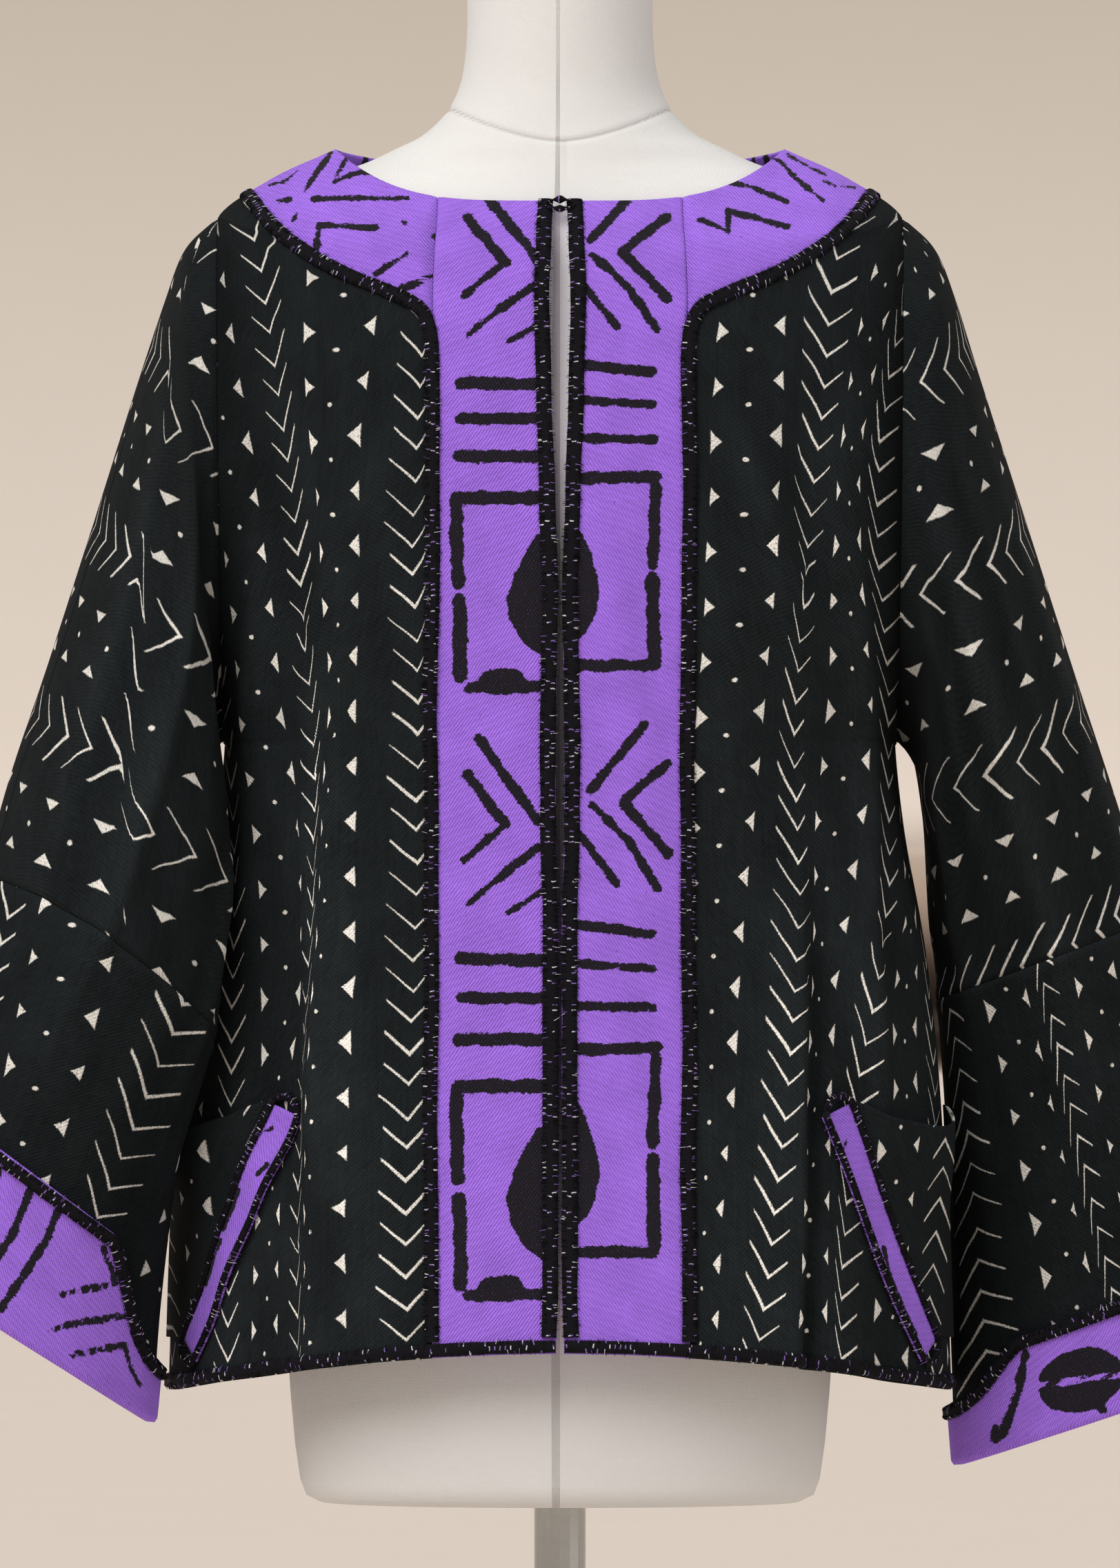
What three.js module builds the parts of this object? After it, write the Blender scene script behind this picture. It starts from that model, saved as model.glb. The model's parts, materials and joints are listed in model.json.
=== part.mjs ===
// A mud cloth jacket with a yoke collar, front bands, wide sleeves and turned-back cuffs,
// hanging on a limbless dress form that stands on a round foot. Millimetres, +Z up,
// front towards -Y, wearer's left on +X. The origin is the middle of the foot's underside.
import * as THREE from "three";

// Cloth and seams
const CLOTH = 2;
const SEAM_GAP = 0.3;
const SEAM_STATION = 0.004;
const SEAM_TURN = 0.0006;
const LAYER_GAP = 0.5;
const STRIP_LIFT = 0.9;
const COLLAR_BINDING_LIFT = 0.8;
const COLLAR_BINDING_END = 0.97;

// Front opening, bands and collar
const BAND_HALF = 79;
const BAND_TOP_HALF = 76;
const BAND_TOP_Z = 1284;
const COLLAR_SHOULDER_X = 195;

// Bindings
const BINDING_WIDTH = 9;
const BINDING_HEIGHT = 1.6;
const FRONT_BINDING_WIDTH = 9.5;
const HEM_WIDTH = 8;
const HEM_HEIGHT = 2.2;
const HEM_CLEAR = 10;

// Pockets
const POCKET_TOP_Z = 809;
const POCKET_DROOP = 13;
const POCKET_GAPE = 12;
const STRIP_WIDTH = 26;
const STRIP_BINDING_WIDTH = 6;
const STRIP_STEPS = 8;
const STRIP_TOP = { x: 170, z: 808 };
const STRIP_LOW = { x: 226, z: 659 };

// Cuffs: how deep each is in front, how deep both are next to the body, and the
// length of sleeve between its last two rings
const CUFF_DEPTH_LEFT = 106;
const CUFF_DEPTH_RIGHT = 70;
const CUFF_INNER_DEPTH = 36;
const END_RING_LENGTH = 85;

// Steps of the grids. Pieces that are sewn together share them along their seam.
const SIDE_SEAM_STEPS = 8;
const ARMHOLE_STEPS = 12;
const SLEEVE_TURNS = 2 * ARMHOLE_STEPS;
const FRONT_COLUMNS = 14;
const BACK_COLUMNS = 22;
const COLLAR_ROWS = 4;

// Stand
const FOOT_RADIUS = 210;
const FOOT_HEIGHT = 22;
const POLE_RADIUS = 16;
const TORSO_LOW_Z = 562;
const NECK_TOP_Z = 1506;
const NECK_RADIUS = 58;
const CAP_HEIGHT = 18;

const COLOUR = {
  mudCloth: 0x17191b,
  purple: 0x9159d8,
  binding: 0x141316,
  linen: 0xe6e2da,
  steel: 0xb9b9b6,
};

// Turns rows of numbers into rows of named values.
function table(names, rows) {
  return rows.map((row) => Object.fromEntries(row.map((value, i) => [names[i], value])));
}

// The body of the jacket, a row for each level from the hem to the neckline.
// frontZ and backZ are the level's heights at the centre, edgeX and edgeZ its end at the
// side seam or shoulder seam, square its roundness and rise how late it climbs to its edge.
const BODY = table(
  ["frontZ", "frontDepth", "backZ", "backDepth", "edgeX", "edgeZ", "square", "rise"],
  [
    [659, 172, 644, 172, 244, 632, 2.3, 2],
    [745, 167, 734, 166, 241, 728, 2.3, 2],
    [830, 161, 822, 160, 237, 818, 2.3, 2],
    [915, 156, 908, 153, 228, 905, 2.3, 2],
    [985, 152, 980, 147, 215, 978, 2.3, 2],
    [1040, 149, 1036, 143, 209, 1034, 2.3, 2],
    [1080, 147, 1078, 141, 210, 1065, 2.3, 2],
    [1150, 143, 1150, 138, 211, 1147, 2.3, 2],
    [1228, 136, 1232, 131, 213, 1249, 2.3, 2],
    [1292, 125, 1300, 121, 214, 1331, 2.3, 2.4],
    [1332, 113, 1343, 110, 214, 1362, 2.3, 3],
    [1352, 101, 1371, 97, 181, 1386, 2.2, 3.6],
    [1370, 88, 1397, 84, 140, 1405, 2.1, 4],
  ],
);
const HEM_STATION = 0;
const UNDERARM_STATION = 5;
const SHOULDER_STATION = 10;
const NECK_STATION = 12;

// Half the opening between the front edges, by height.
const OPENING = table(
  ["z", "half"],
  [
    [650, 2.6],
    [700, 1.2],
    [930, 1.2],
    [974, 2.6],
    [1028, 2.9],
    [1080, 2.2],
    [1125, 1.2],
    [1190, 3.2],
    [1250, 5.2],
    [1312, 6.6],
    [1350, 5.2],
    [1372, 4.2],
  ],
);

// The collar's outer edge, from the band to the shoulder seam and on to the centre back.
const COLLAR_FRONT_EDGE = table(
  ["x", "z"],
  [
    [BAND_HALF, BAND_TOP_Z],
    [86, 1302],
    [106, 1313],
    [130, 1323],
    [154, 1336],
    [178, 1355],
    [COLLAR_SHOULDER_X, 1377],
  ],
);
const COLLAR_BACK_EDGE = table(
  ["x", "z"],
  [
    [COLLAR_SHOULDER_X, 1377],
    [184, 1356],
    [160, 1333],
    [120, 1314],
    [62, 1304],
    [0, 1301],
  ],
);

// Soft folds of the body: the line of each from its top to its low end, in front view.
const BODY_FOLDS = table(
  ["face", "topX", "topZ", "lowX", "lowZ", "width", "height"],
  [
    [-1, -148, 1130, -150, 800, 20, 7],
    [-1, 146, 1030, 143, 560, 20, 7],
    [-1, -112, 900, -118, 540, 26, 4],
    [-1, 112, 880, 106, 540, 24, 3.5],
    [1, -128, 1120, -150, 540, 30, 7],
    [1, 122, 1160, 138, 540, 30, 7],
    [1, -14, 960, -22, 540, 34, 5],
    [1, 60, 1270, 84, 980, 24, 3.5],
  ],
);

// The sleeves, a row for each ring from the armhole to the end. outer and inner are the
// ring's ends in front view, depth its half depth, forward how far it lies off centre and
// lean how much its front side reaches inwards over the body.
const SLEEVE_COLUMNS = ["outerX", "outerZ", "innerX", "innerZ", "depth", "forward", "lean"];
const SLEEVE = {
  right: table(SLEEVE_COLUMNS, [
    [214, 1362, 210, 1034, 92, 0, 0],
    [234, 1342, 215, 1031, 97, 0, 0],
    [247, 1310, 219, 1024, 99, 0, 0],
    [262, 1262, 223, 1008, 98, -1, 0],
    [290, 1175, 227, 978, 93, -5, 0],
    [319, 1085, 230, 944, 88, -14, 0],
    [346, 1004, 233, 912, 84, -26, 0],
    [371, 925, 239, 876, 82, -36, 0],
    [397, 838, 249, 792, 77, -44, 0],
    [428, 735, 254, 668, 70, -48, 0],
    [452, 655, 256, 588, 66, -48, 0],
  ]),
  left: table(SLEEVE_COLUMNS, [
    [214, 1362, 210, 1034, 92, 0, 0],
    [234, 1342, 215, 1031, 97, 0, 0.04],
    [246, 1310, 219, 1024, 98, 4, 0.1],
    [260, 1262, 221, 1010, 94, 13, 0.2],
    [284, 1175, 219, 982, 88, 34, 0.32],
    [310, 1090, 216, 947, 82, 58, 0.38],
    [334, 1018, 219, 907, 78, 74, 0.4],
    [354, 950, 227, 856, 75, 84, 0.38],
    [380, 880, 246, 775, 72, 84, 0.22],
    [406, 803, 255, 692, 69, 78, 0.06],
    [433, 733, 258, 620, 67, 74, 0],
  ]),
};
const ARMHOLE = SLEEVE.right[0];
const PIECING_RING = 7;
const CUFF_RING = 9;
const END_RING = 10;
const PIECING_RIDGE = 1.5;

// Soft folds of the sleeves, lengthwise: angle round the sleeve, in turns from the outer side.
const SLEEVE_FOLDS = table(
  ["side", "turn", "width", "height", "from", "to"],
  [
    [-1, 0.245, 0.035, 6, 0.6, 7.4],
    [1, 0.255, 0.035, 6, 0.6, 7.2],
    [-1, 0.4, 0.03, 5, 3.2, 8.6],
    [1, 0.39, 0.03, 4, 3.4, 8.4],
    [-1, 0.74, 0.04, 6, 1.2, 7.8],
    [1, 0.76, 0.04, 6, 1.0, 8.0],
    [-1, 0.1, 0.035, 3.5, 2.0, 6.4],
    [1, 0.1, 0.035, 3.5, 2.4, 6.8],
  ],
);

// The cuff's section: distance up the sleeve as a share of its depth, or mm past the end
// where negative, and height over the sleeve's outer face.
const CUFF_SECTION = table(
  ["up", "over"],
  [
    [1, 3.8],
    [0.5, 3.4],
    [0.03, 3],
    [-2.6, 1.4],
    [-2.6, -3.4],
    [0.03, -4.8],
    [0.3, -4.8],
    [0.3, -2.8],
    [-0.8, -2.8],
    [-0.8, 0.8],
    [0.5, 1.3],
    [1, 1.7],
  ],
);

// The dress form's sections, from its flat underside to the neck.
const FORM = table(
  ["z", "halfWidth", "front", "back", "square"],
  [
    [TORSO_LOW_Z, 150, 112, 118, 2.2],
    [TORSO_LOW_Z + 14, 162, 122, 128, 2.2],
    [660, 170, 128, 136, 2.2],
    [760, 172, 127, 136, 2.2],
    [860, 154, 116, 118, 2.2],
    [960, 126, 104, 98, 2.2],
    [1040, 130, 110, 98, 2.2],
    [1120, 144, 126, 108, 2.2],
    [1190, 154, 131, 116, 2.2],
    [1250, 160, 123, 116, 2.2],
    [1300, 176, 110, 108, 2.2],
    [1343.2, 190, 97, 96, 2.1],
    [1365.2, 189, 84, 84, 2.0],
    [1378.2, 176, 77, 78, 1.9],
    [1387.2, 152, 73, 74, 1.8],
    [1395.2, 124, 70, 71, 1.8],
    [1405, 102, 67, 68, 1.9],
    [1414, 85, 64, 65, 2.0],
    [1429, 70, 61, 62, 2.0],
    [1448, 61.5, 58.5, 59.5, 2.0],
    [1476, NECK_RADIUS, NECK_RADIUS, NECK_RADIUS, 2.0],
    [NECK_TOP_Z, NECK_RADIUS, NECK_RADIUS, NECK_RADIUS, 2.0],
  ],
);

const mix = (a, b, share) => a + (b - a) * share;

function smooth(value) {
  const share = Math.min(1, Math.max(0, value));
  return share * share * (3 - 2 * share);
}

// A smooth curve through a table's column, at a fractional row.
function along(rows, name, position) {
  const last = rows.length - 1;
  const row = Math.min(last - 1, Math.max(0, Math.floor(position)));
  const share = position - row;
  const value = (i) => rows[Math.min(last, Math.max(0, i))][name];
  const [a, b, c, d] = [value(row - 1), value(row), value(row + 1), value(row + 2)];
  const slopeIn = row === 0 ? c - b : (c - a) / 2;
  const slopeOut = row === last - 1 ? c - b : (d - b) / 2;
  const square = share * share;
  const cube = square * share;
  return (
    (2 * cube - 3 * square + 1) * b +
    (cube - 2 * square + share) * slopeIn +
    (3 * square - 2 * cube) * c +
    (cube - square) * slopeOut
  );
}

// The value of a column at a height, for a table whose rows climb.
function atHeight(rows, name, z) {
  const above = rows.findIndex((row) => row.z >= z);
  if (above === 0) return rows[0][name];
  if (above < 0) return rows.at(-1)[name];
  const low = rows[above - 1];
  const high = rows[above];
  return mix(low[name], high[name], smooth((z - low.z) / (high.z - low.z)));
}

// Finds where a growing function reaches a target.
function solve(low, high, target, measure) {
  for (let i = 0; i < 40; i++) {
    const middle = (low + high) / 2;
    if (measure(middle) < target) low = middle;
    else high = middle;
  }
  return (low + high) / 2;
}

// The armhole: x, height and reach forward or back of its ring at an angle from its top.
function armhole(angle) {
  const share = (1 + Math.cos(angle)) / 2;
  return {
    x: mix(ARMHOLE.innerX, ARMHOLE.outerX, share),
    z: mix(ARMHOLE.innerZ, ARMHOLE.outerZ, share),
    reach: ARMHOLE.depth * Math.sin(angle),
  };
}

// The way through the cloth at the armhole's seam, the same for the body and the sleeve.
function armholeNormal(angle) {
  return new THREE.Vector3(0.45, -0.9 * Math.sin(angle), 0.9 * Math.cos(angle)).normalize();
}

const armholeAngle = (station) =>
  (Math.PI * (SHOULDER_STATION - station)) / (SHOULDER_STATION - UNDERARM_STATION);

const inArmhole = (station) => station > UNDERARM_STATION && station < SHOULDER_STATION;

// Where a level of the body ends: at the side seam, the armhole or the shoulder seam.
function bodyEdge(station) {
  if (inArmhole(station)) return armhole(armholeAngle(station));
  return { x: along(BODY, "edgeX", station), z: along(BODY, "edgeZ", station), reach: 0 };
}

// Height of the body's folds over its plain surface.
function bodyFold(face, x, z) {
  let height = 0;
  for (const fold of BODY_FOLDS) {
    const down = (fold.topZ - z) / (fold.topZ - fold.lowZ);
    if (fold.face !== face || down <= 0 || down >= 1.1) continue;
    const middle = mix(fold.topX, fold.lowX, down);
    const off = (x - middle) / fold.width;
    height += fold.height * Math.exp(-off * off) * smooth(down / 0.4) * smooth((1.1 - down) / 0.25);
  }
  return height;
}

// A point of the body's outer face. face is -1 for the front and 1 for the back, turn runs
// from -1 to 1 across it, from edge to edge, and station from the hem to the neckline.
function bodyPoint(face, turn, station) {
  const edge = bodyEdge(station);
  const centreZ = along(BODY, face < 0 ? "frontZ" : "backZ", station);
  const depth = along(BODY, face < 0 ? "frontDepth" : "backDepth", station);
  const square = along(BODY, "square", station);
  const edgeAngle = Math.atan2(edge.x, edge.reach);
  const edgeDistance = Math.hypot(edge.x, edge.reach);
  const widthPart =
    (edgeDistance ** -square - (Math.cos(edgeAngle) / depth) ** square) /
    Math.sin(edgeAngle) ** square;
  const angle = Math.abs(turn) * edgeAngle;
  const radius =
    (widthPart * Math.sin(angle) ** square +
      (Math.max(0, Math.cos(angle)) / depth) ** square) **
    (-1 / square);
  const x = radius * Math.sin(angle);
  const reach = radius * Math.cos(angle);
  const climb = (x / edge.x) ** along(BODY, "rise", station);
  const z = mix(centreZ, edge.z, climb);
  const side = Math.sign(turn) || 1;
  const fade = 1 - smooth((Math.abs(turn) - 0.86) / 0.12);
  const fold = bodyFold(face, side * x, z) * fade;
  return new THREE.Vector3(
    side * (x + fold * Math.sin(angle)),
    face * (reach + fold * Math.cos(angle)),
    z,
  );
}

// The outward direction of the body's face. At its edges it is the way shared by both pieces.
function bodyNormal(face, turn, station) {
  const side = Math.sign(turn) || 1;
  const atEdge = Math.abs(turn) > 1 - 2 * SEAM_TURN;
  if (atEdge && station >= UNDERARM_STATION && station <= SHOULDER_STATION) {
    const way = armholeNormal(armholeAngle(station));
    return new THREE.Vector3(side * way.x, -face * way.y, way.z);
  }
  const step = 0.004;
  const inwards = atEdge ? -side * step : 0;
  const low = Math.max(HEM_STATION, station - step);
  const high = Math.min(NECK_STATION, station + step);
  const across = bodyPoint(face, turn + inwards + step, station).sub(
    bodyPoint(face, turn + inwards - step, station),
  );
  const up = bodyPoint(face, turn, high).sub(bodyPoint(face, turn, low));
  const normal = across.cross(up).multiplyScalar(-face);
  if (atEdge) normal.y = 0;
  return normal.normalize();
}

const bodySpot = (face, turn, station) => ({
  point: bodyPoint(face, turn, station),
  normal: bodyNormal(face, turn, station),
});

// The turn at which a level of the body reaches a given x.
function turnAt(face, station, x) {
  const edge = bodyEdge(station).x;
  if (Math.abs(x) >= edge) return Math.sign(x);
  const turn = solve(0, 1, Math.abs(x), (value) => bodyPlainX(face, value, station));
  return (Math.sign(x) || 1) * turn;
}

// The x of the body's face without its folds, on the +X half.
function bodyPlainX(face, turn, station) {
  const edge = bodyEdge(station);
  const depth = along(BODY, face < 0 ? "frontDepth" : "backDepth", station);
  const square = along(BODY, "square", station);
  const edgeAngle = Math.atan2(edge.x, edge.reach);
  const widthPart =
    (Math.hypot(edge.x, edge.reach) ** -square -
      (Math.cos(edgeAngle) / depth) ** square) /
    Math.sin(edgeAngle) ** square;
  const angle = turn * edgeAngle;
  const radius =
    (widthPart * Math.sin(angle) ** square +
      (Math.max(0, Math.cos(angle)) / depth) ** square) **
    (-1 / square);
  return radius * Math.sin(angle);
}

// The turn and station of the body's face at an x and a height.
function locate(face, x, z) {
  const station = solve(HEM_STATION, NECK_STATION, z, (value) =>
    bodyPoint(face, turnAt(face, value, x), value).z,
  );
  return { turn: turnAt(face, station, x), station };
}

// The station at which the shoulder seam reaches a given x.
const shoulderStation = (x) =>
  solve(SHOULDER_STATION, NECK_STATION, -x, (value) => -bodyEdge(value).x);

// A curve through x and z rows, as turns and stations of the body's face.
function edgeCurve(face, rows, steps) {
  const last = rows.length - 1;
  const spots = [];
  for (let i = 0; i <= steps; i++) {
    const position = (last * i) / steps;
    const x = along(rows, "x", position);
    if (x >= COLLAR_SHOULDER_X - 0.01) {
      spots.push({ turn: 1, station: shoulderStation(COLLAR_SHOULDER_X) });
    } else {
      spots.push(locate(face, x, along(rows, "z", position)));
    }
  }
  return spots;
}

// A place on a list of turns and stations.
function onCurve(spots, share) {
  const position = Math.min(1, Math.max(0, share)) * (spots.length - 1);
  const row = Math.min(spots.length - 2, Math.floor(position));
  const rest = position - row;
  return {
    turn: mix(spots[row].turn, spots[row + 1].turn, rest),
    station: mix(spots[row].station, spots[row + 1].station, rest),
  };
}

const collarFront = edgeCurve(-1, COLLAR_FRONT_EDGE, 36);
const collarBack = edgeCurve(1, COLLAR_BACK_EDGE, 36);

// Makes a solid from points and faces, with its faces outwards.
function solidGeometry(points, faces) {
  let volume = 0;
  for (const [a, b, c] of faces) {
    volume += points[a].dot(new THREE.Vector3().crossVectors(points[b], points[c]));
  }
  const index = faces.flatMap(([a, b, c]) => (volume < 0 ? [a, c, b] : [a, b, c]));
  const geometry = new THREE.BufferGeometry();
  const numbers = points.flatMap((point) => [point.x, point.y, point.z]);
  geometry.setAttribute("position", new THREE.Float32BufferAttribute(numbers, 3));
  geometry.setIndex(index);
  geometry.computeVertexNormals();
  return geometry;
}

const quad = (a, b, c, d) => [
  [a, b, c],
  [a, c, d],
];

// A wall over a grid. place(row, column) takes shares from 0 to 1 and gives the outer and
// the inner point there. A wall that wraps joins its last column to its first.
function wallGeometry(rows, columns, wraps, place) {
  const across = wraps ? columns : columns + 1;
  const points = [];
  for (let i = 0; i <= rows; i++) {
    for (let j = 0; j < across; j++) points.push(...place(i / rows, j / columns));
  }
  const outer = (i, j) => 2 * (i * across + (j % across));
  const inner = (i, j) => outer(i, j) + 1;
  const faces = [];
  for (let i = 0; i < rows; i++) {
    for (let j = 0; j < columns; j++) {
      faces.push(...quad(outer(i, j), outer(i, j + 1), outer(i + 1, j + 1), outer(i + 1, j)));
      faces.push(...quad(inner(i, j), inner(i + 1, j), inner(i + 1, j + 1), inner(i, j + 1)));
    }
  }
  for (let j = 0; j < columns; j++) {
    faces.push(...quad(outer(0, j + 1), outer(0, j), inner(0, j), inner(0, j + 1)));
    faces.push(
      ...quad(outer(rows, j), outer(rows, j + 1), inner(rows, j + 1), inner(rows, j)),
    );
  }
  for (let i = 0; i < rows && !wraps; i++) {
    faces.push(...quad(outer(i, 0), outer(i + 1, 0), inner(i + 1, 0), inner(i, 0)));
    faces.push(
      ...quad(
        outer(i + 1, columns),
        outer(i, columns),
        inner(i, columns),
        inner(i + 1, columns),
      ),
    );
  }
  return solidGeometry(points, faces);
}

// Sweeps a section along stations of point, across and up. A sweep that closes joins its
// ends, and an open one is capped.
function sweepGeometry(stations, section, closes) {
  const size = section.length;
  const points = stations.flatMap(({ point, across, up }) =>
    section.map(([side, height]) =>
      point.clone().addScaledVector(across, side).addScaledVector(up, height),
    ),
  );
  const count = stations.length;
  const at = (i, j) => (i % count) * size + (j % size);
  const faces = [];
  for (let i = 0; i < (closes ? count : count - 1); i++) {
    for (let j = 0; j < size; j++) {
      faces.push(...quad(at(i, j), at(i, j + 1), at(i + 1, j + 1), at(i + 1, j)));
    }
  }
  for (let j = 1; j < size - 1 && !closes; j++) {
    faces.push([at(0, 0), at(0, j + 1), at(0, j)]);
    faces.push([at(count - 1, 0), at(count - 1, j), at(count - 1, j + 1)]);
  }
  return solidGeometry(points, faces);
}

// Stations for a ribbon that follows spots of point and normal.
function ribbonStations(spots, closes) {
  const count = spots.length;
  return spots.map(({ point, normal }, i) => {
    const next = closes ? (i + 1) % count : Math.min(count - 1, i + 1);
    const before = closes ? (i + count - 1) % count : Math.max(0, i - 1);
    const way = spots[next].point.clone().sub(spots[before].point).normalize();
    const across = new THREE.Vector3().crossVectors(way, normal).normalize();
    return { point, across, up: normal };
  });
}

const ribbonSection = (width, base, height) => [
  [-width / 2, base],
  [-width / 2 + height * 0.6, base + height],
  [width / 2 - height * 0.6, base + height],
  [width / 2, base],
];

const part = new THREE.Group();

function addMesh(name, geometry, colour, roughness = 0.9, metalness = 0) {
  const material = new THREE.MeshStandardMaterial({ color: colour, roughness, metalness });
  const mesh = new THREE.Mesh(geometry, material);
  mesh.name = name;
  part.add(mesh);
  return mesh;
}

// A wall of cloth on the body, whose outer face is the body's own.
function bodyWall(face, rows, columns, place, high = () => 0, low = () => -CLOTH) {
  return wallGeometry(rows, columns, false, (row, column) => {
    const { turn, station } = place(row, column);
    const { point, normal } = bodySpot(face, turn, station);
    return [
      point.clone().addScaledVector(normal, high(row, column)),
      point.clone().addScaledVector(normal, low(row, column)),
    ];
  });
}

// Fills the space between four edges of turns and stations.
function patch(left, right, low, top) {
  return (row, column) => {
    const corner = [low(0), low(1), top(0), top(1)];
    const blend = (name) =>
      mix(left(row)[name], right(row)[name], column) +
      mix(low(column)[name], top(column)[name], row) -
      mix(
        mix(corner[0][name], corner[1][name], column),
        mix(corner[2][name], corner[3][name], column),
        row,
      );
    return { turn: blend("turn"), station: blend("station") };
  };
}

const EDGE_TURN = 1 - SEAM_TURN;
const HEM_END_TURN = EDGE_TURN - 0.001;

// The stations of a panel's rows along its outer edge, where they meet the sleeve's turns.
function edgeStations(top) {
  const stations = [];
  for (let i = 0; i < SIDE_SEAM_STEPS; i++) {
    stations.push((UNDERARM_STATION * i) / SIDE_SEAM_STEPS);
  }
  for (let i = 0; i <= ARMHOLE_STEPS; i++) {
    stations.push(mix(UNDERARM_STATION, SHOULDER_STATION, i / ARMHOLE_STEPS));
  }
  return [...stations, top];
}
const bandTopStation = collarFront[0].station - SEAM_STATION;
const collarTopStation = shoulderStation(COLLAR_SHOULDER_X);

// One front panel, from the band to the side seam, armhole and collar.
function frontPanel(side) {
  const inner = (station) => ({
    turn: turnAt(-1, station, BAND_HALF + SEAM_GAP / 2),
    station,
  });
  const top = (share) => {
    const spot = onCurve(collarFront, share);
    const clear = share === 0 ? inner(bandTopStation).turn : spot.turn;
    return { turn: Math.min(EDGE_TURN, clear), station: spot.station - SEAM_STATION };
  };
  const stations = edgeStations(collarTopStation - SEAM_STATION);
  const rows = stations.length - 1;
  const edge = (row) => stations[Math.round(row * rows)];
  const place = patch(
    (row) => inner((bandTopStation * edge(row)) / edge(1)),
    (row) => ({ turn: EDGE_TURN, station: edge(row) }),
    (column) => ({ turn: mix(inner(0).turn, EDGE_TURN, column), station: 0 }),
    top,
  );
  return bodyWall(-1, rows, FRONT_COLUMNS, (row, column) => {
    const spot = place(row, column);
    return { turn: side * spot.turn, station: spot.station };
  });
}

// The back, in one piece from side seam to side seam.
function backPanel() {
  const top = (share) => {
    const spot = onCurve(collarBack, 1 - Math.abs(2 * share - 1));
    const turn = Math.min(EDGE_TURN, spot.turn) * Math.sign(share - 0.5);
    return { turn, station: spot.station - SEAM_STATION };
  };
  const stations = edgeStations(collarTopStation - SEAM_STATION);
  const rows = stations.length - 1;
  const edge = (row) => stations[Math.round(row * rows)];
  const place = patch(
    (row) => ({ turn: -EDGE_TURN, station: edge(row) }),
    (row) => ({ turn: EDGE_TURN, station: edge(row) }),
    (column) => ({ turn: mix(-EDGE_TURN, EDGE_TURN, column), station: 0 }),
    top,
  );
  return bodyWall(1, rows, BACK_COLUMNS, place);
}

// The turn of the seam between the band and the collar or front, at a station.
function bandTurn(station, inset) {
  const share = smooth((station - bandTopStation) / (NECK_STATION - bandTopStation));
  return turnAt(-1, station, mix(BAND_HALF, BAND_TOP_HALF, share) + inset);
}

// The turn of a front edge at a station.
function openingTurn(station, inset) {
  const z = bodyPoint(-1, 0, station).z;
  return turnAt(-1, station, atHeight(OPENING, "half", z) + inset);
}

function bandPanel(side) {
  return bodyWall(-1, 22, 3, (row, column) => {
    const station = NECK_STATION * row;
    const turn = mix(openingTurn(station, 0), bandTurn(station, -SEAM_GAP / 2), column);
    return { turn: side * turn, station };
  });
}

function collarFrontPanel(side) {
  return bodyWall(-1, COLLAR_ROWS, FRONT_COLUMNS, (row, column) => {
    const low = onCurve(collarFront, column);
    const station = mix(low.station + SEAM_STATION, NECK_STATION, row);
    const neckTurn = mix(bandTurn(NECK_STATION, SEAM_GAP / 2), EDGE_TURN, column);
    const wide = column === 0 ? bandTurn(station, SEAM_GAP / 2) : mix(low.turn, neckTurn, row);
    return { turn: side * Math.min(EDGE_TURN, wide), station };
  });
}

function collarBackPanel() {
  return bodyWall(1, COLLAR_ROWS, BACK_COLUMNS, (row, column) => {
    const low = onCurve(collarBack, 1 - Math.abs(2 * column - 1));
    const station = mix(low.station + SEAM_STATION, NECK_STATION, row);
    const lowTurn = low.turn * Math.sign(column - 0.5);
    const turn = mix(lowTurn, 2 * column - 1, row);
    return { turn: Math.max(-EDGE_TURN, Math.min(EDGE_TURN, turn)), station };
  });
}

// A point of a sleeve's outer face: turn round it from its outer side, by the front, and
// ring from the armhole to its end.
function sleevePoint(side, turn, ring) {
  const rows = side < 0 ? SLEEVE.left : SLEEVE.right;
  const at = (name) => along(rows, name, ring);
  const angle = 2 * Math.PI * turn;
  const wide = (at("outerX") - at("innerX")) / 2;
  const tall = (at("outerZ") - at("innerZ")) / 2;
  const offset = new THREE.Vector3(
    wide * Math.cos(angle) - at("lean") * at("depth") * Math.sin(angle),
    -at("depth") * Math.sin(angle),
    tall * Math.cos(angle),
  );
  const fold = sleeveFold(side, turn, ring);
  offset.addScaledVector(offset.clone().normalize(), fold);
  const x = (at("outerX") + at("innerX")) / 2 + offset.x;
  return new THREE.Vector3(
    side * x,
    offset.y - at("forward"),
    (at("outerZ") + at("innerZ")) / 2 + offset.z,
  );
}

// Height of a sleeve's folds and of its piecing seam over its plain surface.
function sleeveFold(side, turn, ring) {
  const fromSeam = (ring - PIECING_RING) / 0.12;
  let height = PIECING_RIDGE * Math.exp(-fromSeam * fromSeam);
  for (const fold of SLEEVE_FOLDS) {
    if (fold.side !== side || ring <= fold.from || ring >= fold.to) continue;
    const off = (((turn % 1) + 1) % 1 - fold.turn) / fold.width;
    const share = (ring - fold.from) / (fold.to - fold.from);
    height += fold.height * Math.exp(-off * off) * Math.sin(Math.PI * share) ** 1.2;
  }
  return height;
}

function sleeveNormal(side, turn, ring) {
  const step = 0.004;
  const low = Math.max(0, ring - step);
  const high = Math.min(END_RING, ring + step);
  const round = sleevePoint(side, turn + step, ring).sub(sleevePoint(side, turn - step, ring));
  const down = sleevePoint(side, turn, high).sub(sleevePoint(side, turn, low));
  return round.cross(down).multiplyScalar(side).normalize();
}

const sleeveSpot = (side, turn, ring) => ({
  point: sleevePoint(side, turn, ring),
  normal: sleeveNormal(side, turn, ring),
});

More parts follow.
